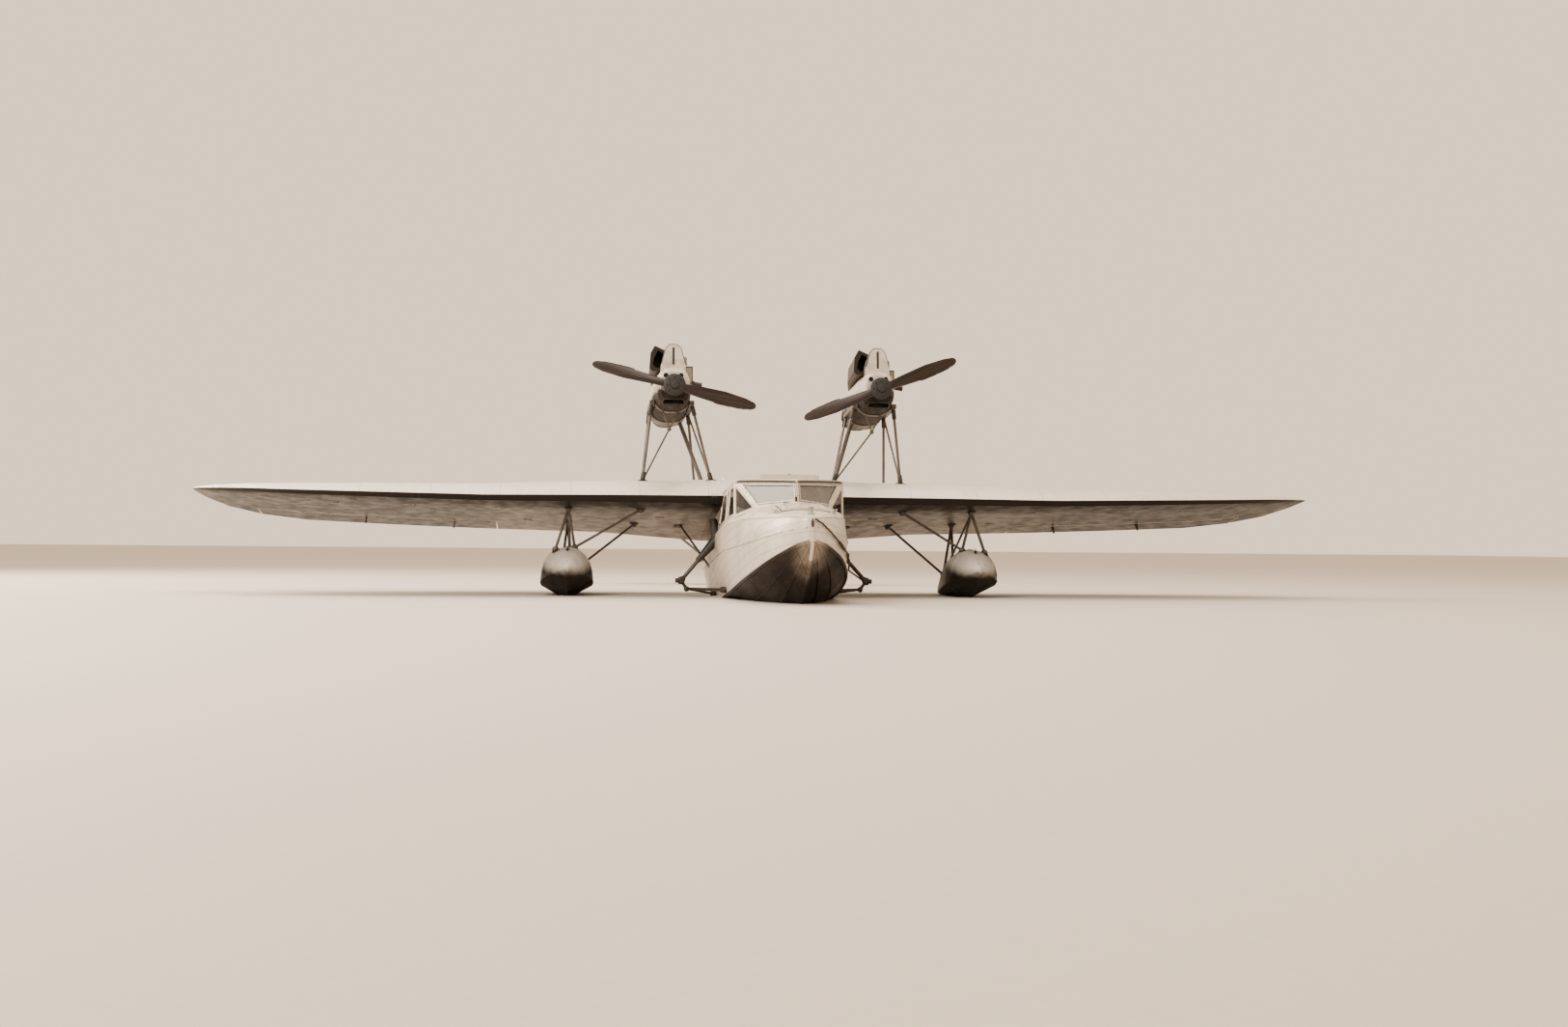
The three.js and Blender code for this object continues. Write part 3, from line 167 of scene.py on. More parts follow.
lens = bpy.data.cameras.new("photo_lens")
lens.sensor_width = 36
lens.lens = FOCAL_PIXELS / PHOTO_WIDTH * lens.sensor_width
lens.shift_x = 9.5 / PHOTO_WIDTH
lens.shift_y = -0.5 / PHOTO_WIDTH
lens.clip_end = 400
camera = linked("photo_camera", lens)
camera.matrix_world = Matrix((right, up, -ahead)).transposed().to_4x4()
camera.location = (-2.5973, -21.0682, 0.6369)
scene.camera = camera

# Node trees


class Wire:
    """A value in a node tree. Arithmetic on it adds Math nodes."""

    def __init__(self, owner, socket):
        self.owner = owner
        self.socket = socket

    def sum(self, operation, *values):
        return self.owner.node("ShaderNodeMath", values, operation=operation)

    def __add__(self, other):
        return self.sum("ADD", self, other)

    def __sub__(self, other):
        return self.sum("SUBTRACT", self, other)

    def __rsub__(self, other):
        return self.sum("SUBTRACT", other, self)

    def __mul__(self, other):
        return self.sum("MULTIPLY", self, other)

    def __abs__(self):
        return self.sum("ABSOLUTE", self)

    __radd__ = __add__
    __rmul__ = __mul__

    def or_more(self, other):
        return self.sum("MAXIMUM", self, other)

    def fade(self, low, high, to_low=0.0, to_high=1.0):
        """Runs smoothly from to_low at low to to_high at high, and no further."""
        return self.owner.node("ShaderNodeMapRange", (self, low, high, to_low, to_high),
                               interpolation_type="SMOOTHSTEP")

    def every(self, pitch, width):
        """A soft line of that width at each multiple of pitch."""
        off = abs(self.sum("PINGPONG", self + pitch * 80, pitch / 2))
        return off.fade(width * 0.3, width, 1, 0)


class Nodes:
    """A node tree with one way to add to it."""

    def __init__(self, tree):
        self.tree = tree

    def node(self, kind, sockets=(), out=0, **settings):
        """Adds a node, with its settings set before its sockets, and gives one of its outputs."""
        made = self.tree.nodes.new(kind)
        for name, value in settings.items():
            setattr(made, name, value)
        named = sockets if isinstance(sockets, dict) else dict(enumerate(sockets))
        for name, value in named.items():
            if isinstance(value, Wire):
                self.tree.links.new(value.socket, made.inputs[name])
            else:
                made.inputs[name].default_value = value
        return Wire(self, made.outputs[out]) if made.outputs else None


class Finish(Nodes):
    """A material drawn along the craft's own axes, in m."""

    def __init__(self, name):
        self.material = bpy.data.materials.new(name)
        self.material.use_nodes = True
        super().__init__(self.material.node_tree)
        self.tree.nodes.clear()
        here = self.node("ShaderNodeTexCoord", out="Object")
        self.place = self.node("ShaderNodeMapping",
                               {"Vector": here, "Location": (0, -sin(TRIM) * DRAUGHT, cos(TRIM) * DRAUGHT),
                                "Rotation": (TRIM, 0, 0)})
        self.x, self.y, self.z = self.parts(self.place)

    def parts(self, vector):
        return [self.node("ShaderNodeSeparateXYZ", (vector,), out=i) for i in range(3)]

    def skyward(self):
        """How far the surface faces up, from -1 to 1."""
        _, y, z = self.parts(self.node("ShaderNodeTexCoord", out="Normal"))
        return y * sin(TRIM) + z * cos(TRIM)

    def stretched(self, along):
        """The craft's place, with each axis scaled."""
        return self.node("ShaderNodeVectorMath", (self.place, along), operation="MULTIPLY")

    def noise(self, scale, detail, along=(1, 1, 1), rough=0.55):
        return self.node("ShaderNodeTexNoise", {"Vector": self.stretched(along), "Scale": scale,
                                                "Detail": detail, "Roughness": rough})

    def cells(self, scale, along=(1, 1, 1), feature="F1"):
        return self.node("ShaderNodeTexVoronoi", {"Vector": self.stretched(along), "Scale": scale},
                         feature=feature)

    def mix(self, first, second, factor):
        """A colour between two, by a factor from 0 to 1."""
        first, second = ((*c, 1) if isinstance(c, tuple) else c for c in (first, second))
        return self.node("ShaderNodeMix", {0: factor, 6: first, 7: second}, 2, data_type="RGBA")

    def coats(self, colour, *coats):
        """A colour under coats, each with its tone and where it shows."""
        for tone, share in coats:
            colour = self.mix(colour, tone, share)
        return colour

    def surface(self, colour, roughness, relief, **others):
        """Ends the tree in a Principled surface, with its relief as (height, depth, strength)."""
        height, depth, strength = relief
        bump = self.node("ShaderNodeBump", {"Strength": strength, "Distance": depth, "Height": height})
        sockets = {name.replace("_", " "): value for name, value in others.items()}
        shader = self.node("ShaderNodeBsdfPrincipled",
                           {"Base Color": colour, "Roughness": roughness, "Normal": bump, **sockets})
        self.node("ShaderNodeOutputMaterial", {"Surface": shader})
        return self


def shade(tone, share):
    return tuple(c * share for c in tone)


# Finishes


def silver_paint(name, tone, streaks, seams=None, under=None, planks=None):
    """Aluminium paint on plywood: fine flake, soft waves of the sheet, washed streaks, seams.

    under gives the tones of painted shade on the wing's underside: one for its flat part, which is mottled,
    and a darker one under its front and outer parts.
    """
    f = Finish(name)
    patch = f.noise(1.7, 4)
    wash = f.noise(5.0, 4, (1.6, 1.6, 0.22))
    grain = f.noise(22, 5, (1, 0.12, 1), 0.7)
    scuff = f.noise(26, 5, (1, 0.3, 1), 0.7).fade(0.6, 0.74)
    speck = f.noise(95, 5, rough=0.75).fade(0.7, 0.76)
    colour = f.coats(tone, (shade(tone, 1.1), patch.fade(0.35, 0.7)),
                     (shade(tone, 0.8), grain.fade(0.45, 0.75) * 0.35),
                     (shade(tone, 0.6), wash.fade(0.52, 0.78) * streaks), (shade(tone, 0.42), scuff * 0.24),
                     ((0.1, 0.08, 0.065), speck * 0.55))
    height = patch * 0.8 + f.noise(900, 1) * 0.02 + grain * 0.06
    if seams:
        lines = (f.x if seams[0] == "x" else f.y).every(seams[1], 0.005)
        colour = f.mix(colour, shade(tone, 0.38), lines * 0.6)
        height = height - lines * 0.35
    if planks:
        flank = abs(f.skyward()).fade(0.55, 0.8, 1, 0)
        lines = (f.z + f.y * 0.1 + patch * 0.01).every(planks, 0.006) * flank
        colour = f.mix(colour, shade(tone, 0.5), lines * 0.6)
        height = height - lines * 0.2
    # Painted shade: where the wing faces down it takes darker, mottled tones, darkest under its leading edge
    # and outboard.
    if under:
        flat, fore_painted_light = under
        below = f.skyward().fade(-0.02, -0.35, 0, 1)
        behind_edge = f.y - abs(f.x).fade(4.4, 7.2, 0, 0.75)
        blotch = f.noise(2.6, 5, (1, 0.6, 1))
        front = (behind_edge + (blotch - 0.5) * 0.3).fade(0.85, 0.42, 0, 1)
        outboard_shade = (abs(f.x) + (blotch - 0.5) * 1.2).fade(2.9, 3.9, 0, 1)
        lower = f.mix(shade(flat, 1.25), shade(flat, 0.72), blotch.fade(0.38, 0.62))
        lower = f.mix(lower, fore_painted_light, front.or_more(outboard_shade))
        colour = f.mix(colour, lower, below)
    return f.surface(colour, f.noise(7, 3).fade(0.3, 0.7, 0.36, 0.52) + scuff * 0.12, (height, 0.004, 0.6),
                     Metallic=0.3)


def bottom_varnish(name):
    """Dark varnished planking, worn along the grain, with paler rubbed places low down."""
    f = Finish(name)
    grain = f.noise(40, 5, (1, 0.05, 1), 0.65)
    run = f.noise(6, 4, (1, 0.35, 1))
    plank = (f.x + f.z * 0.6).every(0.115, 0.0035)
    rubbed = f.noise(14, 6, (1, 0.25, 1), 0.72).fade(0.56, 0.75)
    # Painted highlight: the bottom is paler low on the bow near the stem, where it curves forward.
    fore_painted_light = (f.y + (run - 0.5) * 0.5).fade(-2.45, -2.85, 0, 1) * abs(f.x).fade(0.05, 0.22, 1, 0.15)
    colour = f.coats((0.011, 0.0075, 0.0055), ((0.03, 0.02, 0.014), grain.fade(0.3, 0.75)),
                     ((0.006, 0.0045, 0.004), run.fade(0.5, 0.75) * 0.6),
                     ((0.11, 0.08, 0.06), rubbed * 0.22), ((0.36, 0.31, 0.26), fore_painted_light * 0.75),
                     ((0.006, 0.005, 0.004), plank * 0.7))
    return f.surface(colour, run.fade(0.3, 0.75, 0.42, 0.6) + rubbed * 0.2,
                     (grain * 0.35 - plank, 0.0016, 0.7), Specular_IOR_Level=0.25)


def float_paint(name, tone, dark):
    """Silver above and dark tarred varnish below a soft line that rises from the nose; the line is drawn
    where the lit nose meets its shade, so the dark below it is partly paint and partly painted shade.
    """
    f = Finish(name)
    wash = f.noise(8, 4, (1.6, 1.6, 0.3))
    grain = f.noise(34, 5, (1, 0.1, 1), 0.7)
    # The line rises aft from the nose as the edge of the nose's shade does: below it the dark is partly
    # painted shade.
    rise = f.y.fade(0.05, 0.8, 0.66, 0.845)
    silver = (f.z - rise + (wash - 0.5) * 0.08).fade(-0.075, 0.085, 0, 1)
    worn = f.noise(60, 6, rough=0.72).fade(0.6, 0.7)
    light = f.mix(tone, shade(tone, 0.68), wash.fade(0.45, 0.75) * 0.6)
    deep = f.mix(dark, shade(dark, 2.6), grain.fade(0.5, 0.8) * 0.6)
    colour = f.coats(deep, (light, silver), ((0.11, 0.09, 0.075), worn * 0.3))
    return f.surface(colour, wash.fade(0.3, 0.7, 0.38, 0.54),
                     (grain * 0.5 + wash * 0.5 - worn * 0.3, 0.002, 0.6), Metallic=silver * 0.3,
                     Specular_IOR_Level=0.3)


def strut_enamel(name, tone):
    """Enamel on tube and streamline steel, chipped to darker metal."""
    f = Finish(name)
    chip = f.noise(70, 6, rough=0.7).fade(0.6, 0.68)
    wash = f.noise(9, 4, (1.4, 1.4, 0.4))
    colour = f.coats(tone, (shade(tone, 0.58), wash.fade(0.4, 0.75)), ((0.035, 0.028, 0.023), chip * 0.8))
    return f.surface(colour, wash.fade(0.3, 0.7, 0.34, 0.52) + chip * 0.1,
                     (f.noise(240, 3) * 0.3 - chip * 0.6, 0.0008, 0.7), Metallic=chip * 0.6)


def cowl_metal(name, tone):
    """Beaten sheet aluminium under thin paint: shallow dents, and a lower half that is darker, mottled and
    rougher.
    """
    f = Finish(name)
    dents = f.noise(9, 2)
    film = f.noise(5, 5, (1.3, 0.5, 1.3)).fade(0.5, 0.74)
    brushed = f.noise(220, 3, (1, 0.06, 1))
    speck = f.noise(85, 5, rough=0.7).fade(0.64, 0.72)
    blot = f.noise(11, 5, (1, 0.6, 1), 0.6)
    # Darker towards the bottom: below about 2.8 m up the colour goes near black, mottled.
    darker_below = (f.z + (blot - 0.5) * 0.22).fade(2.87, 2.78, 0, 1)
    colour = f.coats(tone, (shade(tone, 0.82), dents.fade(0.4, 0.7)), ((0.17, 0.13, 0.095), film * 0.32),
                     ((0.07, 0.055, 0.045), speck * 0.5))
    dark = f.mix((0.012, 0.009, 0.007), (0.05, 0.04, 0.032), blot.fade(0.48, 0.76))
    colour = f.mix(colour, dark, darker_below * 0.96)
    return f.surface(colour, brushed.fade(0.3, 0.7, 0.32, 0.46) + film * 0.14 + darker_below * 0.22,
                     (dents + brushed * 0.03, 0.006, 0.5), Metallic=darker_below.fade(0, 0.6, 0.4, 0.0),
                     Specular_IOR_Level=0.3)


def hot_steel(name, dull, scale_tone):
    """Steel with baked scale, blued and rusted in patches."""
    f = Finish(name)
    scale = f.noise(60, 6, rough=0.7)
    tint = f.noise(8, 3)
    colour = f.coats(dull, (shade(dull, 0.45), tint.fade(0.4, 0.62)),
                     (scale_tone, scale.fade(0.5, 0.72) * 0.7))
    return f.surface(colour, scale.fade(0.3, 0.7, 0.42, 0.68), (scale, 0.0012, 0.8), Metallic=0.6)


def engine_iron(name):
    """Cast iron and steel with an oily film."""
    f = Finish(name)
    oil = f.noise(14, 5).fade(0.45, 0.7)
    colour = f.mix((0.075, 0.07, 0.065), (0.026, 0.021, 0.017), oil)
    return f.surface(colour, oil.fade(0, 1, 0.55, 0.28),
                     (f.noise(320, 3) * 0.6 + f.noise(40, 3) * 0.5, 0.0012, 0.6), Metallic=0.5)


def window_glass(name, tint, alpha):
    """Flat glass with dust at its edges and faint drying marks."""
    f = Finish(name)
    dust = f.noise(5, 6, rough=0.65).fade(0.45, 0.85)
    drops = f.cells(90, (1, 1, 0.4)).fade(0.04, 0.1, 1, 0)
    return f.surface(f.mix(tint, (0.5, 0.46, 0.4), dust * 0.25), dust.fade(0, 1, 0.03, 0.14) + drops * 0.06,
                     (f.noise(3.5, 2), 0.002, 0.25), IOR=1.5, Specular_IOR_Level=0.8,
                     Alpha=dust * 0.05 + drops * 0.05 + alpha)


def prop_wood(name):
    """Laminated walnut under varnish: each lamination with its own grain and shade."""
    f = Finish(name)
    layer = f.noise(1.0, 0, (0, 62, 0))
    grain = f.noise(30, 6, (2.2, 2.2, 0.5), 0.68)
    lines = (f.y + f.noise(6, 2) * 0.004).every(0.019, 0.0014)
    colour = f.coats((0.016, 0.0095, 0.007), ((0.034, 0.02, 0.013), layer.fade(0.35, 0.65)),
                     ((0.009, 0.0055, 0.004), grain.fade(0.5, 0.8) * 0.75),
                     ((0.008, 0.005, 0.004), lines * 0.8))
    return f.surface(colour, grain.fade(0.3, 0.8, 0.28, 0.42), (grain - lines, 0.0007, 0.5),
                     Coat_Weight=0.15, Coat_Roughness=0.2)


def ply_board(name, low, high):
    """Oiled plywood boards with boot wear."""
    f = Finish(name)
    grain = f.noise(18, 6, (1, 0.12, 1), 0.7)
    boot = f.noise(5, 4).fade(0.45, 0.75)
    joint = f.x.every(0.14, 0.004)
    colour = f.coats(low, (high, grain.fade(0.3, 0.72)), ((0.09, 0.065, 0.045), boot * 0.6),
                     ((0.02, 0.014, 0.01), joint))
    return f.surface(colour, boot.fade(0, 1, 0.45, 0.7), (grain * 0.5 - joint, 0.0015, 0.6))


def leather(name):
    """Upholstery hide: pebbled grain, creases, rubbed lighter where it is sat on."""
    f = Finish(name)
    pebble = f.cells(170, feature="DISTANCE_TO_EDGE").fade(0.0, 0.09)
    crease = f.noise(22, 5, rough=0.7).fade(0.56, 0.66)
    wear = f.noise(6, 4).fade(0.45, 0.75)
    colour = f.mix((0.085, 0.042, 0.022), (0.17, 0.095, 0.052), wear)
    colour = f.coats((0.03, 0.016, 0.01), (colour, pebble.fade(0, 1, 0.35, 1)),
                     ((0.035, 0.018, 0.011), crease * 0.5))
    return f.surface(colour, wear.fade(0, 1, 0.42, 0.56), (pebble - crease * 0.7, 0.0009, 0.7))


def panel_black(name, low=(0.018, 0.017, 0.016), high=(0.036, 0.034, 0.031)):
    """Stoved black paint with a fine wrinkle, rubbed to metal in specks."""
    f = Finish(name)
    wrinkle = f.cells(420, feature="DISTANCE_TO_EDGE").fade(0.0, 0.2)
    speck = f.noise(120, 5, rough=0.7).fade(0.66, 0.72)
    colour = f.coats(low, (high, wrinkle), ((0.24, 0.23, 0.21), speck * 0.5))
    return f.surface(colour, wrinkle.fade(0, 1, 0.5, 0.36), (wrinkle, 0.0006, 0.6), Metallic=speck * 0.7)


def hemp(name):
    """Tarred rope: fibres along the lay."""
    f = Finish(name)
    fibre = f.noise(420, 4, (1, 1, 1), 0.7)
    colour = f.mix((0.035, 0.026, 0.018), (0.1, 0.075, 0.05), fibre.fade(0.35, 0.7))
    return f.surface(colour, fibre.fade(0.3, 0.7, 0.7, 0.9), (fibre, 0.001, 0.8))


# Tones of painted shade on the wing's underside: its flat part, and under its front and outer parts.
UNDERSIDE_SHADE_TONES = ((0.15, 0.125, 0.103), (0.02, 0.0155, 0.0125))
HULL = silver_paint("hull_paint", (0.6, 0.55, 0.48), 0.35, seams=("y", 0.62), planks=0.105)
WING = silver_paint("wing_paint", (0.7, 0.65, 0.58), 0.25, seams=("x", 0.81), under=UNDERSIDE_SHADE_TONES)
TAIL = silver_paint("tail_paint", (0.61, 0.57, 0.505), 0.35)
FLOAT = float_paint("float_paint", (0.6, 0.565, 0.51), (0.016, 0.012, 0.01))
BOTTOM = bottom_varnish("bottom_varnish")
STRUT = strut_enamel("strut_enamel", (0.055, 0.047, 0.04))
GREY_STRUT = strut_enamel("grey_strut_enamel", (0.125, 0.108, 0.092))
PALE_STRUT = strut_enamel("pale_strut_enamel", (0.42, 0.39, 0.345))
COWL = cowl_metal("cowl_metal", (0.64, 0.59, 0.52))
# The air scoop is painted near black all over: painted shade of its inside, seen through its mouth.
SCOOP_SHADE = cowl_metal("sooty_metal", (0.045, 0.037, 0.031))
STEEL = hot_steel("exhaust_scale", (0.12, 0.1, 0.085), (0.2, 0.125, 0.08))
PALE_STEEL = hot_steel("exhaust_ash", (0.42, 0.39, 0.35), (0.22, 0.16, 0.12))
FITTING = hot_steel("fitting_steel", (0.085, 0.075, 0.066), (0.14, 0.09, 0.06))
IRON = engine_iron("oily_iron")
SCREEN = window_glass("windscreen_glass", (0.2, 0.185, 0.165), 0.72)
GLASS = window_glass("side_glass", (0.035, 0.032, 0.028), 0.62)
WOOD = prop_wood("laminated_walnut")
BOARDS = ply_board("floor_boards", (0.16, 0.1, 0.055), (0.3, 0.2, 0.115))
LEATHER = leather("seat_hide")
BLACK = panel_black("panel_black")
DIAL = panel_black("dial_face", (0.01, 0.01, 0.01), (0.022, 0.021, 0.02))
ROPE = hemp("tarred_rope")
SLOTS = {"silver_paint": (HULL, WING, TAIL, FLOAT, COWL, SCOOP_SHADE), "bottom_paint": (BOTTOM,),
         "strut_paint": (STRUT, GREY_STRUT, PALE_STRUT, FITTING, ROPE), "engine_iron": (IRON,),
         "exhaust_steel": (STEEL, PALE_STEEL), "propeller_wood": (WOOD,), "window_glass": (SCREEN, GLASS),
         "floor_ply": (BOARDS,), "seat_leather": (LEATHER,), "panel_paint": (BLACK, DIAL)}
for slot, finishes in SLOTS.items():
    for finish in finishes:
        finish.slot = slot

# Solids that keep their shape


def merged(node):
    """The solid's triangles as a bmesh with their doubles merged."""
    bm = bmesh.new()
    bm.from_mesh(frame["nodes"][node].data)
    bmesh.ops.remove_doubles(bm, verts=bm.verts, dist=2e-5)
    bmesh.ops.dissolve_degenerate(bm, dist=1e-6, edges=bm.edges)
    return bm


def finished(name, mesh, finish, body="airframe"):
    """Links a mesh as a piece with its finish, on its body."""
    piece = linked(name, mesh)
    mesh.materials.clear()
    mesh.materials.append(finish.material)
    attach(piece, body)
    return piece


SKIN_CREASE = radians(32)


def skin(node, finish):
    """A merged, smooth copy of a solid, which stands for it."""
    bm = merged(node)
    for face in bm.faces:
        face.smooth = True
    for edge in bm.edges:
        edge.smooth = len(edge.link_faces) == 2 and edge.calc_face_angle(0) < SKIN_CREASE
    mesh = mesh_of(bm, node + "_skin")
    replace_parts(finished(node + "_skin", mesh, finish, frame["nodes"][node]["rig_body"]), node)


SKINS = [("planing_bottom", BOTTOM), ("afterbody_bottom", BOTTOM), ("bow_deck", HULL),
         ("aft_fuselage", HULL), ("cabin_roof", HULL), ("wing_centre", WING), ("roof_hatch", HULL),
         ("bow_hatch", HULL), ("cabin_floor", BOARDS), ("instrument_panel", BLACK),
         ("windscreen_frame", HULL), ("tailplane", TAIL), ("fin", TAIL), ("rudder", TAIL)]
SIDE_SKINS = [("cabin_side", HULL), ("wing", WING), ("aileron", WING), ("windscreen_pane", SCREEN),
              ("quarter_pane", GLASS), ("front_window", GLASS), ("rear_window", GLASS), ("nacelle", COWL),
              ("engine_block", IRON), ("cylinder_cowl", COWL), ("air_scoop", SCOOP_SHADE), ("exhaust", PALE_STEEL),
              ("propeller", WOOD), ("engine_mount", GREY_STRUT), ("float", FLOAT),
              ("float_struts", GREY_STRUT), ("gear_legs", STRUT), ("gear_stay", GREY_STRUT),
              ("elevator", TAIL), ("tail_struts", GREY_STRUT)]
for node, finish in SKINS + [(f"{node}_{side}", finish) for side, _ in SIDES for node, finish in SIDE_SKINS]:
    skin(node, finish)

# Places on the solids' surfaces

surfaces = {}


def surface_of(node):
    if node not in surfaces:
        bm = merged(node)
        surfaces[node] = BVHTree.FromBMesh(bm)
        bm.free()
    return surfaces[node]


def touch(node, start, direction):
    """Where a line from start first meets a solid, and the way the surface faces there."""
    place, facing, _, _ = surface_of(node).ray_cast(placed(start), toward(*direction))
    return place, facing


def laid_on(nodes, starts, direction):
    """The path that lines from the starts make on the first of the solids that each meets."""
    path = []
    for start in starts:
        met = [touch(node, start, direction) for node in nodes]
        met = [(place, facing) for place, facing in met if place is not None]
        if met:
            path.append(min(met, key=lambda m: (m[0] - placed(start)).length))
    return path


def lengthwise(node, x, front, rear, z, direction, count):
    """The path along a solid that lines from a straight row of places, from front to rear, make."""
    return laid_on([node], line((x, front, z), (x, rear, z), count), direction)


def closing_on(node, starts, x, z):
    """The path on a solid where lines from the starts toward a middle line, at x and z, meet it."""
    met = [touch(node, start, (x - start[0], 0, z - start[2])) for start in starts]
    return [(place, facing) for place, facing in met if place is not None]


def facing_all(places, direction):
    """A path through places, all facing one way."""
    return [(placed(place), toward(*direction)) for place in places]


# Trees that lay things along a path: a moulding, round heads, and pressed blisters


class Layer(Nodes):
    """A geometry node tree with a path and a finish among its named inputs."""

    def __init__(self, name, sizes):
        super().__init__(bpy.data.node_groups.new(name, "GeometryNodeTree"))
        face = self.tree.interface
        face.new_socket("Geometry", in_out="OUTPUT", socket_type="NodeSocketGeometry")
        for socket, kind in (("Geometry", "NodeSocketGeometry"), ("finish", "NodeSocketMaterial")):
            face.new_socket(socket, in_out="INPUT", socket_type=kind)
        for size in sizes:
            face.new_socket(size, in_out="INPUT", socket_type="NodeSocketFloat")
        group = self.tree.nodes.new("NodeGroupInput")
        self.given = {socket.name: Wire(self, socket) for socket in group.outputs if socket.name}
        self.path = self.node("GeometryNodeMeshToCurve", {"Mesh": self.given["Geometry"]})

    def read(self, name):
        return self.node("GeometryNodeInputNamedAttribute", {"Name": name}, data_type="FLOAT_VECTOR")

    def end(self, geometry):
        painted = self.node("GeometryNodeSetMaterial",
                            {"Geometry": self.node("GeometryNodeRealizeInstances", {"Geometry": geometry}),
                             "Material": self.given["finish"]})
        self.node("NodeGroupOutput", {"Geometry": painted})


def moulding_layer():
    """A strip with eased edges that follows the path and lies on what the path faces from."""
    t = Layer("moulding_along_path", ("width", "height", "ease"))
    given = t.given
    turned = t.node("GeometryNodeSetCurveNormal", {"Curve": t.path, "Normal": t.read("facing")}, mode="FREE")
    outline = t.node("GeometryNodeCurvePrimitiveQuadrilateral",
                     {"Width": given["height"], "Height": given["width"]})
    eased = t.node("GeometryNodeFilletCurve",
                   {"Curve": outline, "Count": 3, "Radius": given["ease"], "Limit Radius": True},
                   mode="POLY")
    t.end(t.node("GeometryNodeCurveToMesh", {"Curve": turned, "Profile Curve": eased, "Fill Caps": True}))
    return t


def set_out(t, shape):
    """Copies of a shape at the pitch along the path, each on its surface and turned to the path."""
    spaced = t.node("GeometryNodeResampleCurve", {"Curve": t.path, "Length": t.given["pitch"]}, mode="LENGTH")
    turned = t.node("FunctionNodeAxesToRotation",
                    {"Primary Axis": t.read("facing"), "Secondary Axis": t.read("along")}, primary_axis="Z",
                    secondary_axis="X")
    t.end(t.node("GeometryNodeInstanceOnPoints", {"Points": spaced, "Instance": shape, "Rotation": turned}))


def heads_layer():
    """Raised fastener heads: low cones with a flat top."""
    t = Layer("heads_along_path", ("pitch", "radius", "height"))
    set_out(t, t.node("GeometryNodeMeshCone",
                      {"Vertices": 8, "Radius Top": t.given["radius"] * 0.62,
                       "Radius Bottom": t.given["radius"], "Depth": t.given["height"]}))
    return t


def blisters_layer():
    """Pressed blisters, half sunk: louvres, vents and fairings."""
    t = Layer("blisters_along_path", ("pitch", "long", "wide", "high"))
    ball = t.node("GeometryNodeMeshUVSphere", {"Segments": 12, "Rings": 8, "Radius": 0.5})
    size = t.node("ShaderNodeCombineXYZ", (t.given["long"], t.given["wide"], t.given["high"]))
    set_out(t, t.node("GeometryNodeTransform", {"Geometry": ball, "Scale": size}))
    return t


MOULDING = moulding_layer()
HEADS = heads_layer()
BLISTERS = blisters_layer()


def lay(name, layer, paths, finish, body="airframe", slot=None, **sizes):
    """A piece that a layer's tree lays along paths of places and facings, with its sizes in mm."""
    places, facings, alongs, edges = [], [], [], []
    for path in paths:
        first, count = len(places), len(path)
        if count < 3:
            continue
        for k, (place, facing) in enumerate(path):
            ahead_of, behind = path[min(k + 1, count - 1)][0], path[max(k - 1, 0)][0]
            places.append(place)
            facings.append(facing)
            alongs.append((ahead_of - behind).normalized())
        edges += [(first + k, first + k + 1) for k in range(count - 1)]
    mesh = bpy.data.meshes.new(name)
    mesh.from_pydata(places, edges, [])
    for attribute, vectors in (("facing", facings), ("along", alongs)):
        stored = mesh.attributes.new(attribute, "FLOAT_VECTOR", "POINT")
        stored.data.foreach_set("vector", [c for v in vectors for c in v])
    carrier = linked(name + "_path", mesh)
    modifier = carrier.modifiers.new("laid", "NODES")
    modifier.node_group = layer.tree
    values = {"finish": finish.material, **{k: v / 1000 for k, v in sizes.items()}}
    for socket in layer.tree.interface.items_tree:
        if socket.in_out == "INPUT" and socket.name in values:
            modifier[socket.identifier] = values[socket.name]
    result = evaluated(carrier)
    result.name = name
    bpy.data.objects.remove(carrier)
    soften(result)
    return finished(name, result, finish, body)


def strip(name, paths, finish, width, height, ease, body="airframe", slot=None):
    """A moulding along each path."""
    return lay(name, MOULDING, paths, finish, body, slot, width=width, height=height, ease=ease)


def heads(name, paths, pitch, radius, height, finish=FITTING, body="airframe"):
    """Fastener heads along each path."""
    return lay(name, HEADS, paths, finish, body, pitch=pitch, radius=radius, height=height)


def raised(paths, lift):
    """Paths moved off their surfaces by so many mm."""
    return [[(place + facing * (lift / 1000), facing) for place, facing in path] for path in paths]


def soften(mesh, crease=40):
    """Smooth faces that meet at less than the crease, sharp edges past it."""
    mesh.shade_smooth()
    mesh.set_sharp_from_angle(angle=radians(crease))


# Shapes drawn face by face


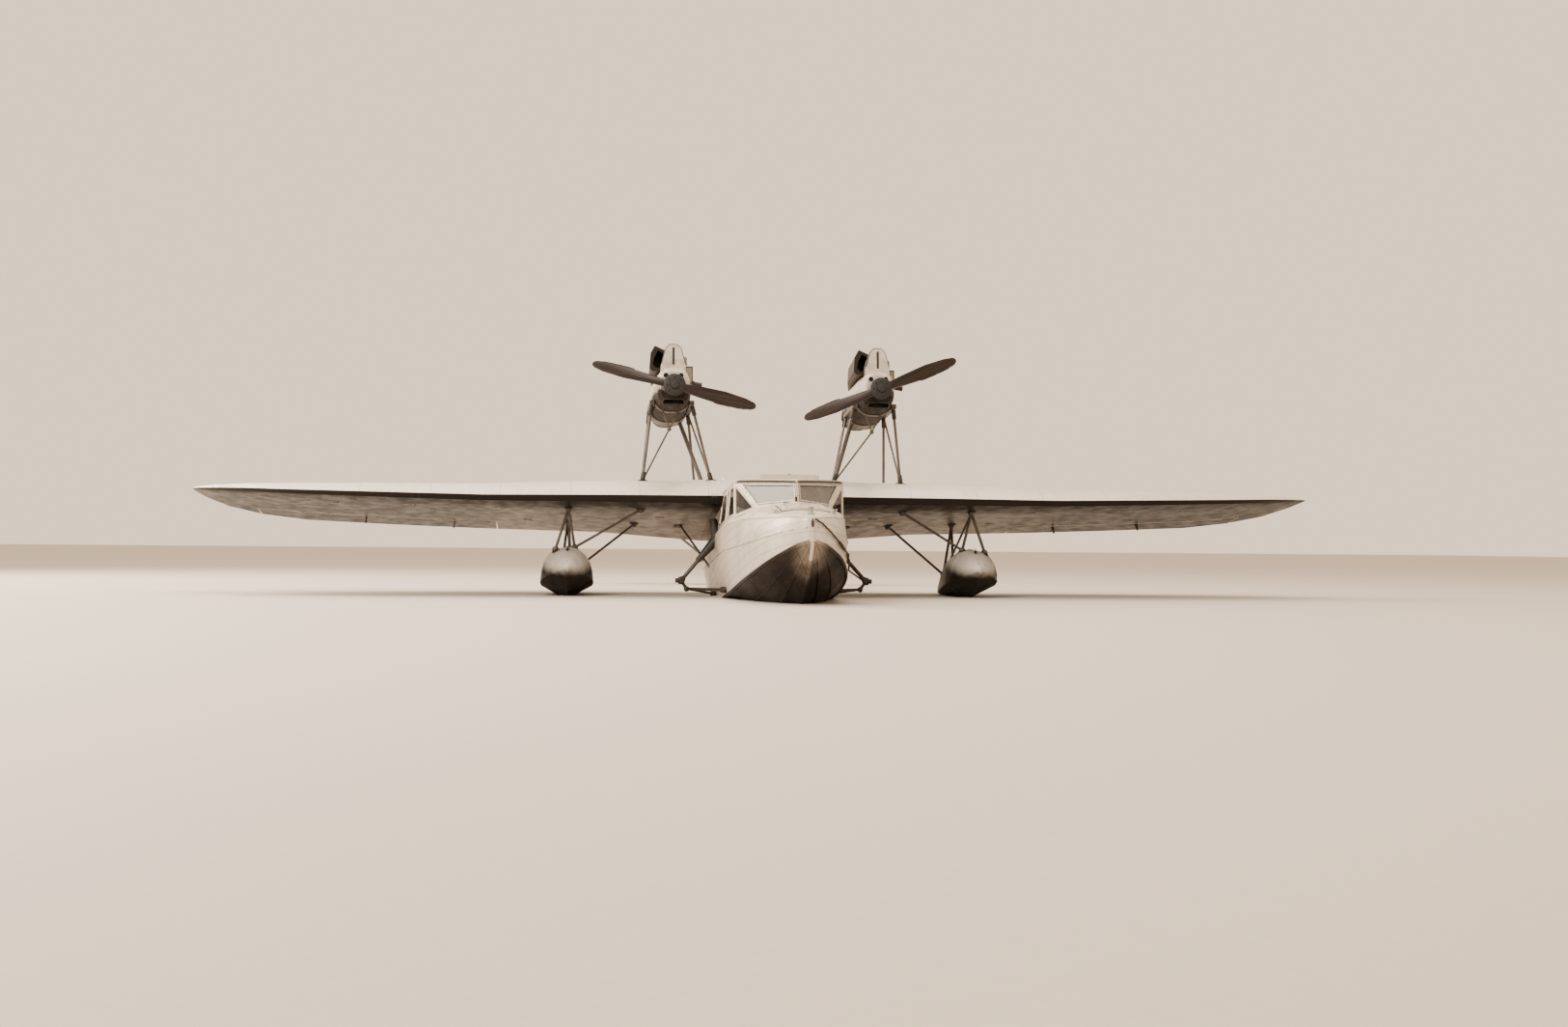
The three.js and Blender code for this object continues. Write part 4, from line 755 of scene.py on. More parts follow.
class Form:
    """A mesh under construction, in craft places."""

    def __init__(self):
        self.bm = bmesh.new()

    def loft(self, rings):
        """Walls between rings of the same number of places, with an end at each."""
        rows = [[self.bm.verts.new(placed(place)) for place in ring] for ring in rings]
        count = len(rows[0])
        for low, high in zip(rows, rows[1:]):
            for k in range(count):
                after = (k + 1) % count
                self.bm.faces.new((low[k], low[after], high[after], high[k]))
        self.bm.faces.new(list(reversed(rows[0])))
        self.bm.faces.new(rows[-1])
        return self

    def lathe(self, centre, axis, profile, steps=24):
        """Turns a profile of (distance along, radius), in mm, about an axis."""
        centre, axis = placed(centre), aimed(axis)
        return self.loft([circle(centre + axis * along / 1000, axis, radius, steps)
                          for along, radius in profile])

    def rod(self, start, end, radius, steps=12):
        """A round bar with turned-in ends."""
        start, end = placed(start), placed(end)
        length = (end - start).length * 1000
        ease = min(radius * 0.4, length * 0.2)
        return self.lathe(start, end - start, [(0, radius - ease), (ease, radius), (length / 2, radius),
                                               (length - ease, radius), (length, radius - ease)], steps)

    def tube(self, places, radius, steps, lobes=0, turns=0.0):
        """A round or stranded bar through places."""
        places = [placed(place) for place in places]
        side = (places[1] - places[0]).orthogonal().normalized()
        rings = []
        for k, place in enumerate(places):
            run = (places[min(k + 1, len(places) - 1)] - places[max(k - 1, 0)]).normalized()
            side = level(side, run)
            other = run.cross(side)
            ring = []
            for a in angles(steps):
                reach = radius * (1 + 0.16 * cos(lobes * (a - turns * k))) if lobes else radius
                ring.append(place + (side * cos(a) + other * sin(a)) * reach / 1000)
            rings.append(ring)
        return self.loft(rings)

    def slab(self, outline, thickness, ease=0.0):
        """A plate from its outline, thickened on both sides along its own normal."""
        outline = [placed(place) for place in outline]
        middle = sum(outline, Vector()) / len(outline)
        normal = sum(((a - middle).cross(b - middle) for a, b in zip(outline, outline[1:] + outline[:1])),
                     Vector()).normalized()
        half = normal * thickness / 2000
        inset = [p + (middle - p).normalized() * ease / 1000 for p in outline]
        rings = [[p - half for p in inset], [p - half * 0.5 for p in outline],
                 [p + half * 0.5 for p in outline], [p + half for p in inset]]
        return self.loft(rings)

    def oval(self, centre, facing, along, length, width, thickness, steps=20, power=2.0):
        """A rounded plate that lies on a surface."""
        centre, facing = placed(centre), aimed(facing)
        along = level(aimed(along), facing)
        across = facing.cross(along)
        rings = []
        for lift, share in ((-0.5, 1.0), (0.6, 1.0), (1.0, 0.93)):
            ring = []
            for a in angles(steps):
                c, s = cos(a), sin(a)
                u = copysign(abs(c) ** (2 / power), c) * length / 2000 * share
                v = copysign(abs(s) ** (2 / power), s) * width / 2000 * share
                ring.append(centre + along * u + across * v + facing * thickness * lift / 1000)
            rings.append(ring)
        return self.loft(rings)

    def bolt(self, centre, facing, radius, height):
        """A hexagon head on its washer."""
        facing = aimed(facing)
        self.lathe(centre, facing, [(-1, radius * 1.5), (1.5, radius * 1.5)], 12)
        return self.lathe(centre, facing, [(1, radius), (height - 1, radius), (height, radius * 0.86)], 6)

    def done(self, name, finish, body="airframe", slot=None, crease=35):
        """Ends the form as a piece."""
        bmesh.ops.recalc_face_normals(self.bm, faces=self.bm.faces)
        mesh = mesh_of(self.bm, name)
        soften(mesh, crease)
        return finished(name, mesh, finish, body)

# Hull: stations along the keel, the chine and the widest line of the topside

KEEL = [(-2935, 700), (-2895, 650), (-2770, 541), (-2585, 408), (-2353, 277), (-2050, 140), (-1670, 45),
        (-1420, 18), (-1056, 4), (-700, 0), (0, 0), (1395, 0)]
CHINE = [(38, -2930, 712), (112, -2895, 694), (232, -2770, 640), (332, -2585, 586), (410, -2353, 540),
         (485, -2050, 484), (542, -1670, 443), (567, -1420, 421), (594, -1056, 396), (610, -700, 374),
         (630, 0, 360), (640, 1395, 360)]
WIDEST = [(-2925, 858), (-2585, 828), (-2050, 816), (-1420, 830), (-700, 855), (1390, 860), (2400, 910),
          (3400, 960), (4400, 1020), (5200, 1090), (6400, 1232), (6900, 1330)]
AFT_KEEL = [(1410, 100), (2400, 205), (3400, 330), (4400, 470), (5200, 600), (6400, 960), (6970, 1178)]
DECK_EDGE = [(28, -2932, 956), (104, -2895, 972), (220, -2770, 990), (308, -2585, 1004), (382, -2353, 1024),
             (466, -2050, 1054), (534, -1670, 1092), (574, -1420, 1113)]


def keel_bar(table, low=0, high=2000, x=0):
    """The path along a keel, between two heights, facing off the hull."""
    path = []
    for k, (y, z) in enumerate(table):
        if low <= z <= high:
            (y0, z0), (y1, z1) = table[max(k - 1, 0)], table[min(k + 1, len(table) - 1)]
            path.append((at(x, y, z), toward(0, z1 - z0, y0 - y1)))
    return path


def mirrored(places, sign):
    return [(x * sign, y, z) for x, y, z in places]


stem = facing_all(line((0, -2935, 962), (0, -2935, 720), 4), AHEAD)
strip("stem_bar", [stem + keel_bar(KEEL, low=500)], HULL, 34, 26, 7)
strip("keel_bar", [keel_bar(KEEL, high=545), keel_bar(AFT_KEEL)], BOTTOM, 36, 30, 7)
for side, sign in SIDES:
    topside = ["bow_deck", f"cabin_side_{side}", "aft_fuselage"]
    rail = along_table(mirrored(CHINE, sign), 40)
    strip(f"chine_rail_{side}", [facing_all(rail, (sign, 0, -0.55))], BOTTOM, 38, 34, 8)
    strakes = []
    for share in (0.34, 0.66):
        starts = [(x * share, y, LOW) for x, y, z in along_table(mirrored(CHINE[1:], sign), 44)]
        strakes.append(laid_on(["planing_bottom"], starts, UP))
    strip(f"bottom_strakes_{side}", strakes, BOTTOM, 20, 26, 5)
    starts = [(ABEAM * sign, y, z) for y, z in along_table(WIDEST, 90)]
    wale = laid_on(topside, starts, (-sign, 0, 0))
    strip(f"rubbing_strake_{side}", [wale], HULL, 24, 18, 7)
    heads(f"rubbing_strake_screws_{side}", raised([wale], 9), 160, 5, 3)
    edge = facing_all(along_table(mirrored(DECK_EDGE, sign), 26), (sign, 0, 0.9))
    strip(f"deck_edge_{side}", [edge], HULL, 18, 10, 4)
    low = [(ABEAM * sign, y, z)
           for _, y, z in along_table([(0, -2860, 735), (0, -1420, 470), (0, 1390, 415)], 50)]
    heads(f"topside_screws_{side}", [laid_on(topside, low, (-sign, 0, 0))], 110, 4.5, 3, HULL)


# Bow: hatch, bollard, cleats, stem ring


def frame_on(node, x, front, rear):
    """The path of a rectangle that is laid on a solid from above."""
    corners = [(-x, front, HIGH), (x, front, HIGH), (x, rear, HIGH), (-x, rear, HIGH), (-x, front, HIGH)]
    starts = [place for a, b in zip(corners, corners[1:]) for place in line(a, b, 10)[:-1]] + corners[:1]
    return laid_on([node], starts, DOWN)


lid_rim = frame_on("bow_hatch", 209, -2414, -1991)
strip("bow_hatch_rim", [lid_rim], HULL, 20, 14, 5, "bow_hatch")
inner = frame_on("bow_hatch", 180, -2385, -2020)
heads("bow_hatch_screws", [inner], 62, 5, 4, body="bow_hatch")
seal = frame_on("bow_deck", 252, -2457, -1900)
strip("bow_hatch_gasket", [seal], BLACK, 13, 9, 3)

bollard = Form()
bollard.lathe((0, -2815, 1000), UP, [(-14, 44), (12, 44), (18, 30), (26, 23), (58, 20), (66, 23), (70, 31),
                                     (80, 32), (86, 28), (88, 18)])
bollard.rod((-62, -2815, 1048), (62, -2815, 1048), 7)
for sign in (-1, 1):
    bollard.lathe((62 * sign, -2815, 1048), (sign, 0, 0), [(-4, 7), (-2, 11), (5, 11), (8, 6)], 12)
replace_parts(bollard.done("bollard_turned", PALE_STRUT), "bollard")


def cleat(form, node, x, y, along, size=1.0):
    """A two-horned cleat on its plate."""
    foot, facing = touch(node, (x, y, HIGH), DOWN)
    run = level(toward(*along), facing)
    form.oval(foot, facing, run, 150 * size, 46 * size, 6)
    for end in (-1, 1):
        form.rod(foot + run * end * 0.026 * size, foot + run * end * 0.022 * size + facing * 0.034 * size,
                 8 * size)
    horn = [foot + run * k / 1000 * size + facing * h / 1000 * size
            for k, h in ((-92, 43), (-70, 39), (-40, 35), (0, 33), (40, 35), (70, 39), (92, 43))]
    form.tube(horn, 7.5 * size, 10)
    for end in (-1, 1):
        form.bolt(foot + run * end * 0.058 * size + facing * 0.006, facing, 5, 4)


cleats = Form()
for sign in (-1, 1):
    cleat(cleats, "bow_deck", 300 * sign, -2400, (0.35 * sign, 1, 0))
    cleat(cleats, "aft_fuselage", 150 * sign, 5600, AFT)
cleats.done("mooring_cleats", PALE_STRUT)
eye = Form()
eye.tube(circle(at(0, -2966, 900), toward(1, 0, 0), 24, 20, 1), 7, 8)
eye.oval((0, -2948, 900), AHEAD, UP, 90, 30, 5)
eye.bolt((0, -2953, 932), AHEAD, 5, 5)
eye.bolt((0, -2953, 868), AHEAD, 5, 5)
eye.done("stem_ring", FITTING)

PAINTER = [(28, -2962, 940), (108, -2926, 897), (218, -2840, 806), (348, -2628, 713), (482, -2205, 656),
           (608, -1500, 628), (700, -900, 604), (1074, 318, 588)]
painter = along_table(PAINTER, 240)
Form().tube(painter, 9, 12, lobes=3, turns=0.55).done("bow_painter", ROPE)
served = Form()
for start, end in ((31, 50), (64, 79), (96, 110)):
    served.tube(painter[start:end], 15, 12)
served.done("painter_serving", ROPE, crease=60)

# Windscreen: beads round the panes, a black strip under the roof's edge that paints its shadow, bars and
# beads of the side windows

SCREEN_CORNERS = ((0, -1841, 1247), (403, -1419, 1234), (606, -1051, 1572), (0, -1736, 1478))
POST, PILLAR, SILL, LINTEL = 0.035, 0.9, 0.13, 0.9


def on_screen(u, v, sign):
    """A place on the middle of a half of the windscreen, by shares across and up."""
    low, outer_low, outer_top, top = SCREEN_CORNERS
    x, y, z = between(between(low, outer_low, u), between(top, outer_top, u), v)
    return at(x * sign, y, z)


front_window = [(-990, 1280), (-960, 1226), (-540, 1226), (-480, 1280), (-480, 1490), (-530, 1530),
                (-990, 1530)]
rear_window = [(-400, 1280), (-350, 1226), (380, 1226), (430, 1280), (430, 1380), (400, 1410), (60, 1440),
               (-70, 1530), (-350, 1530), (-400, 1490)]


def grown(outline, reach):
    """An outline moved out from its middle."""
    middle = [sum(values) / len(outline) for values in zip(*outline)]
    out = []
    for y, z in outline:
        away = Vector((y - middle[0], z - middle[1])).normalized() * reach
        out.append((y + away.x, z + away.y))
    return out + out[:1]


for side, sign in SIDES:
    quad = [on_screen(u, v, sign)
            for u, v in ((POST, SILL), (PILLAR, SILL), (PILLAR, LINTEL), (POST, LINTEL))]
    normal = (quad[1] - quad[0]).cross(quad[3] - quad[0]).normalized() * sign
    normal = normal if normal.y < 0 else -normal
    loop = []
    for a, b in zip(quad, quad[1:] + quad[:1]):
        loop += [(a.lerp(b, k / 8) + normal * 0.016, normal) for k in range(8)]
    strip(f"windscreen_bead_{side}", [loop + loop[:1]], HULL, 15, 8, 3)
    heads(f"windscreen_screws_{side}", raised([loop], 4), 70, 3.5, 2.5)
    # A black strip under the roof's edge, just off the glass, paints the shadow of the roof's overhang.
    shadow_strip, off_glass = [], toward(sign * 0.74, -0.67, 0)
    for x, y, _ in line((6 * sign, -1764, 0), (622 * sign, -1078, 0), 14):
        under, _ = touch("cabin_roof", (x, y + 24, 1250), UP)
        if under is not None:
            shadow_strip.append((under + off_glass * 0.016 + toward(0, 0, 1) * 0.004, off_glass))
    strip(f"roof_lip_{side}", [shadow_strip], BLACK, 15, 12, 3)
    wall = f"cabin_side_{side}"
    for name, outline in (("front_window", front_window), ("rear_window", rear_window)):
        starts = []
        edge = grown(outline, 13)
        for (y0, z0), (y1, z1) in zip(edge, edge[1:]):
            starts += [(ABEAM * sign, y, z) for y, z in line((y0, z0), (y1, z1), 6)[:-1]]
        bead = laid_on([wall], starts, (-sign, 0, 0))
        strip(f"{name}_bead_{side}", [bead + bead[:1]], HULL, 20, 10, 4)
        heads(f"{name}_screws_{side}", raised([bead], 5), 75, 4, 3)
    bar = Form()
    for y in (-730, 20):
        low_x, high_x, high = (654, 622, 1530) if y < 0 else (678, 648, 1432)
        bar.rod((sign * low_x, y, 1228), (sign * high_x, y, high), 11, 8)
    bar.done(f"window_bars_{side}", HULL)

bracket, off_post = Form(), toward(-0.6, -0.7, 0.3)
bracket.oval(on_screen(0.02, 0.16, -1) + off_post * 0.018, off_post, UP, 60, 26, 6)
bracket.rod(on_screen(0.02, 0.13, -1) + off_post * 0.022, on_screen(0.02, 0.26, -1) + off_post * 0.03, 7)
bracket.done("screen_post_bracket", BLACK)

# Roof hatch: centre division, rim and hinges

division = lengthwise("roof_hatch", 0, -1140, -540, 2100, DOWN, 12)
strip("roof_hatch_division", raised([division], 2), BLACK, 22, 10, 2, "roof_hatch")
rim = frame_on("roof_hatch", 290, -1100, -570)
strip("roof_hatch_rim", [rim], HULL, 22, 12, 5, "roof_hatch")
rim = frame_on("roof_hatch", 262, -1072, -598)
heads("roof_hatch_screws", [rim], 64, 4, 3, body="roof_hatch")
for name, xs, y, z in (("bow_hatch", (-140, 140), -1953, 1232), ("roof_hatch", (-190, 0, 190), -524, 1733)):
    hinges = Form()
    for x in xs:
        hinges.rod((x - 34, y, z), (x + 34, y, z), 7, 12)
    hinges.done(name + "_hinge_pins", FITTING, name)

# Wing: cover straps at the panel joints, inspection covers, strut plates, aileron horns


def section_paths(node, x, front, rear, count=26):
    """Paths over and under a flying surface at x, from front to rear."""
    return [lengthwise(node, x, front, rear, z, direction, count)
            for z, direction in ((HIGH, DOWN), (LOW, UP))]


STRUT_FEET = ((2450, 450), (2450, 1580), (1590, 450), (1620, 1600), (1070, 1600))
WING_COVERS = ((1330, 1040), (3300, 500), (4300, 560), (5200, 640), (2950, 1560))
TRESTLE_FEET = (((1570, 450, 1790), (1468, 320, 2712)), ((745, 450, 1790), (992, 320, 2712)),
                ((1557, 1540, 1620), (1468, 970, 2712)), ((839, 1540, 1620), (992, 970, 2712)))


def bolted_plate(form, node, start, direction, length, width, bolts=4):
    """An oval plate on a surface with bolts round it."""
    foot, facing = touch(node, start, direction)
    form.oval(foot, facing, AFT, length, width, 6, 20, 2.6)
    run = level(toward(*AFT), facing)
    across = facing.cross(run)
    inset = 0.34 / 1000
    for k in range(bolts):
        a = 2 * pi * (k + 0.5) / bolts
        spot = foot + run * cos(a) * length * inset + across * sin(a) * width * inset
        form.bolt(spot + facing * 0.006, facing, 6, 6)


for side, sign in SIDES:
    wing = f"wing_{side}"
    joint = section_paths(wing, 745 * sign, 12, 2250)
    strip(f"wing_joint_strap_{side}", joint, WING, 64, 6, 2)
    edges = [path for x in (722, 768) for path in section_paths(wing, x * sign, 30, 2230)]
    heads(f"wing_joint_screws_{side}", raised(edges, 3), 78, 4.5, 3)
    for name, places, length, bolts, finish in (("strut_plates", STRUT_FEET, 190, 4, FITTING),
                                                ("inspection_covers", WING_COVERS, 120, 6, WING)):
        plates = Form()
        for x, y in places:
            bolted_plate(plates, wing, (x * sign, y, LOW), UP, length, 120, bolts)
        plates.done(f"{name}_{side}", finish)
    feet = Form()
    for (x, y, z), (top_x, top_y, top_z) in TRESTLE_FEET:
        foot, top = at(x * sign, y, z), at(top_x * sign, top_y, top_z)
        bolted_plate(feet, wing if x > 722 else "wing_centre", (x * sign, y, HIGH), DOWN, 190, 130)
        run = (top - foot).normalized()
        feet.lathe(foot - run * 0.02, run, [(0, 22), (20, 30), (40, 31), (120, 27), (128, 22)], 16)
        feet.lathe(top - run * 0.15, run, [(0, 20), (6, 26), (110, 27), (118, 20)], 16)
    feet.done(f"trestle_feet_{side}", FITTING)
    hinge_start, hinge_end = (3350 * sign, 1900, 1490), (6200 * sign, 1400, 1568)
    horn = Form()
    for share in (0.18, 0.555):
        x, y, z = between(hinge_start, hinge_end, share)
        horn.slab([(x, y + 150, z - 34), (x, y + 20, z - 44), (x, y - 14, z - 146), (x, y + 14, z - 158),
                   (x, y + 40, z - 138)], 10, 3)
        horn.bolt((x + 6 * sign, y + 6, z - 140), (sign, 0, 0), 7, 6)
    horn.done(f"aileron_horns_{side}", STRUT, f"aileron_{side}")

# Tail: sewn tapes over the ribs, horns


TAILPLANE_Z = 2120
for side, sign in SIDES:
    ribs = [220 + 210 * k for k in range(8)]
    paths = [path for x in ribs for path in section_paths("tailplane", x * sign, 6230 + x * 0.1, 6850, 9)]
    strip(f"rib_tapes_tailplane_{side}", paths, TAIL, 24, 4, 1)
    elevator = f"elevator_{side}"
    paths = [path for x in ribs + [1900] for path in section_paths(elevator, x * sign, 6925, 7300, 8)]
    strip(f"rib_tapes_{elevator}", paths, TAIL, 24, 4, 1, elevator)
    horn = Form()
    for flip in (-1, 1):
        horn.slab([(345 * sign, y, TAILPLANE_Z + h * flip)
                   for y, h in ((6922, 20), (7010, 20), (6955, 112), (6935, 122), (6918, 110))], 8, 3)
        horn.bolt((350 * sign, 6936, TAILPLANE_Z + 106 * flip), (sign, 0, 0), 6, 5)
    horn.done(f"elevator_horns_{side}", STRUT, elevator)


for node, front, rear, low in (("fin", 5700, 6975, 1640), ("rudder", 7010, 7520, 1480)):
    paths = [lengthwise(node, 400 * flank, front, rear, low + 165 * k, (-flank, 0, 0), 12) for k in range(7)
             for flank in (-1, 1)]
    strip(f"rib_tapes_{node}", paths, TAIL, 24, 4, 1, "rudder" if node == "rudder" else "airframe")
horn = Form()
for flank in (-1, 1):
    horn.slab([(flank * h, y, 1830)
               for h, y in ((18, 7010), (20, 7120), (120, 7050), (132, 7030), (118, 7014))], 8, 3)
    horn.bolt((flank * 116, 7031, 1835), UP, 6, 5)
horn.done("rudder_horns", STRUT, "rudder")

# Engines

HUB_Y, ENGINE_X, ENGINE_Z = -160, 1230, 2840
NACELLE_MIDDLE, COWL_MIDDLE, EYE_Z = 2862, 3190, 2985


def round_about(node, x, ys, z, turns):
    """The paths round a solid at each y, as lines from 0.7 m off its middle line meet it."""
    return [closing_on(node, [(x + 700 * sin(a), y, z + 700 * cos(a)) for a in turns], x, z) for y in ys]


for side, sign in SIDES:
    x0 = ENGINE_X * sign
    nacelle, cowl, prop = f"nacelle_{side}", f"cylinder_cowl_{side}", f"propeller_{side}"
    full, over = angles(36, 1), [radians(-108 + 216 * k / 14) for k in range(15)]
    bands = round_about(nacelle, x0, (70, 285, 355, 935, 1200, 1640), NACELLE_MIDDLE, full)
    strip(f"nacelle_bands_{side}", bands, COWL, 16, 6, 2)
    rows = round_about(nacelle, x0, (92, 265, 375, 915, 1220, 1620), NACELLE_MIDDLE, full)
    heads(f"nacelle_screws_{side}", rows, 58, 4.5, 3.5)
    louvres = [lengthwise(nacelle, x0 + 500 * flank, 1270, 1570, z, (-flank, 0, 0), 8) for flank in (-1, 1)
               for z in (2800, 2950)]
    lay(f"nacelle_louvres_{side}", BLISTERS, louvres, COWL, pitch=46, long=22, wide=118, high=26)
    # Black ovals between the louvres paint the shade inside their openings.
    slots = Form()
    for path in louvres:
        for k in range(6):
            place, facing = path[0][0].lerp(path[-1][0], (k + 0.75) / 6.6), path[0][1]
            slots.oval(place, facing, UP, 100, 9, 3, 12, 4)
    slots.done(f"louvre_slots_{side}", BLACK)
    detail = Form()
    cap, facing = touch(nacelle, (x0, 1160, HIGH), DOWN)
    grip = toward(1, 0, 0) * 0.05
    detail.lathe(cap, facing, [(-4, 62), (6, 62), (9, 50), (20, 48), (26, 40), (30, 12)], 24)
    detail.rod(cap + grip + facing * 0.032, cap - grip + facing * 0.032, 6)
    detail.done(f"filler_cap_{side}", FITTING)

    # Nose: eyes, the intake slot, the small plug above the shaft and the slot up the cowl's front
    # The eyes and the slot up the cowl's front are black pieces that paint the shade inside these openings;
    # the plug is black too.
    face = Form()
    for eye_x in (-90, 90):
        face.lathe(at(x0 + eye_x, 26, EYE_Z), AHEAD, [(-8, 30), (8, 30), (14, 27), (14, 24)], 24)
    face.lathe(at(x0, 30, 3064), AHEAD, [(-10, 17), (12, 17), (16, 12)], 16)
    place, facing = touch(cowl, (x0, FRONT, 3230), AFT)
    face.slab([place + toward(1, 0, 0) * a / 1000 + toward(0, 0, 1) * b / 1000
               for a, b in ((-13, -104), (13, -104), (13, 96), (9, 104), (-9, 104), (-13, 96))], 10, 2)
    face.done(f"nose_openings_{side}", BLACK)
    mouth = [(x0 + a, z) for a, z in ((-128, 2673), (-112, 2703), (0, 2706), (112, 2703), (128, 2673),
                                      (112, 2645), (0, 2642), (-112, 2645))]
    starts = [(x, FRONT, z) for x, z in mouth + mouth[:1]]
    strip(f"intake_rim_{side}", [laid_on([nacelle], starts, AFT)], STRUT, 14, 16, 5)
    rims = [laid_on([nacelle], [(x0 + eye_x + 38 * cos(a), FRONT, EYE_Z + 38 * sin(a))
                                for a in angles(20, 1)], AFT) for eye_x in (-90, 90)]
    strip(f"eye_rims_{side}", rims, COWL, 9, 8, 3)

    # Cylinder cowl: top ridge, side screws and ribs
    ridge = lengthwise(cowl, x0, 40, 940, HIGH, DOWN, 14)
    strip(f"cowl_ridge_{side}", [ridge], STRUT, 26, 12, 4)
    flanks = [lengthwise(cowl, x0 + 400 * flank, 50, 935, z, (-flank, 0, 0), 16) for flank in (-1, 1)
              for z in (3095, 3320)]
    heads(f"cowl_screws_{side}", flanks, 60, 4.5, 3.5)
    hoops = round_about(cowl, x0, (34, 250, 480, 710, 945), COWL_MIDDLE, over)
    strip(f"cowl_hoops_{side}", hoops[1:], STRUT, 12, 7, 2)
    strip(f"cowl_front_band_{side}", hoops[:1], STRUT, 24, 15, 4)

    # Exhaust: flanges on the collector, dark frame of the box, the stub's sleeve
    stack = Form()
    for y in (200, 320, 560, 680):
        stack.oval((x0 + 164, y, 3200), (1, 0, 0), UP, 84, 62, 5, 20, 3)
        stack.bolt((x0 + 169, y, 3232), (1, 0, 0), 6, 6)
        stack.bolt((x0 + 169, y, 3168), (1, 0, 0), 6, 6)
    stack.lathe((x0 + 240, 380, 2971), (0.126, 0, -0.02),
                [(0, 30), (10, 36), (26, 36), (34, 28), (118, 28), (126, 31), (128, 26), (70, 22)], 20)
    stack.done(f"exhaust_fittings_{side}", STEEL)
    box_frame = [(x0 + 128, 288, 3156), (x0 + 246, 288, 3156), (x0 + 246, 288, 2956), (x0 + 150, 288, 2956)]
    strip(f"exhaust_frame_{side}", [facing_all(box_frame, AHEAD)], STEEL, 13, 9, 2)

    # Propeller: bolts and plate of the hub, metal edges of the blades
    hub = Form()
    for a in angles(8):
        hub.bolt((x0 + 92 * cos(a), -210, ENGINE_Z + 92 * sin(a)), AHEAD, 11, 16)
    hub.lathe((x0, -206, ENGINE_Z), AHEAD, [(-4, 132), (2, 132), (8, 124), (12, 76), (14, 62)], 32)
    hub.lathe((x0, -236, ENGINE_Z), AHEAD, [(-30, 62), (-22, 62), (-16, 54), (0, 50), (6, 44), (9, 20)], 24)
    hub.lathe((x0, -106, ENGINE_Z), AFT, [(0, 118), (6, 122), (16, 122), (20, 100)], 32)
    hub.done(f"hub_fittings_{side}", BLACK, prop, slot="strut_paint")
    centre, axis = at(x0, HUB_Y, ENGINE_Z), toward(0, 1, 0)
    reach = max((v.co - centre for v in frame["nodes"][prop].data.vertices), key=lambda c: c.length)
    blade_run = (reach - axis * reach.dot(axis)).normalized()
    sheaths = []
    for way in (blade_run, -blade_run):
        chord = axis.cross(way)
        path = []
        for k in range(14):
            root = centre + way * (0.5 + 0.47 * k / 13)
            hits = [surface_of(prop).ray_cast(root + chord * 0.3 + axis * lift * 0.006, -chord)[0]
                    for lift in range(-8, 9)]
            met = [place for place in hits if place is not None]
            if met:
                path.append((max(met, key=lambda p: (p - root).dot(chord)), chord))
        sheaths.append(path)
    strip(f"blade_edges_{side}", sheaths, FITTING, 9, 16, 3, prop, slot="propeller_wood")

# Floats

FLOAT_X = 2460
FLOAT_KEEL = [(80, 672), (150, 600), (270, 520), (430, 455), (650, 415), (950, 402), (1300, 418),
              (1700, 458), (1950, 496), (2200, 546), (2430, 608)]
FLOAT_FEET = ((2600, 430), (2370, 640), (2525, 1860), (2393, 1860))
for side, sign in SIDES:
    node = f"float_{side}"
    x0 = FLOAT_X * sign
    strip(f"float_keel_{side}", [keel_bar(FLOAT_KEEL, x=x0)], FLOAT, 26, 20, 5)
    top = lengthwise(node, x0, 130, 2380, HIGH, DOWN, 26)
    strip(f"float_ridge_{side}", [top], FLOAT, 34, 5, 2)
    heads(f"float_ridge_screws_{side}", raised([top], 3), 90, 4, 3)
    turns = [radians(6 + 96 * k / 10) for k in range(11)]
    hoops = [closing_on(node, [(x0 + flank * (20 + 480 * sin(a)), y, 720 + 500 * cos(a)) for a in turns],
                        x0, 720) for y in (430, 950, 1500, 2000) for flank in (-1, 1)]
    strip(f"float_seams_{side}", hoops, FLOAT, 26, 4, 1)
    fittings = Form()
    for x, y in FLOAT_FEET:
        bolted_plate(fittings, node, (x * sign, y, HIGH), DOWN, 170, 100)
    bolted_plate(fittings, node, (x0, 1250, HIGH), DOWN, 150, 150, 8)
    cleat(fittings, node, x0, 330, AFT, size=0.7)
    fittings.done(f"float_fittings_{side}", FITTING)

# Gear legs

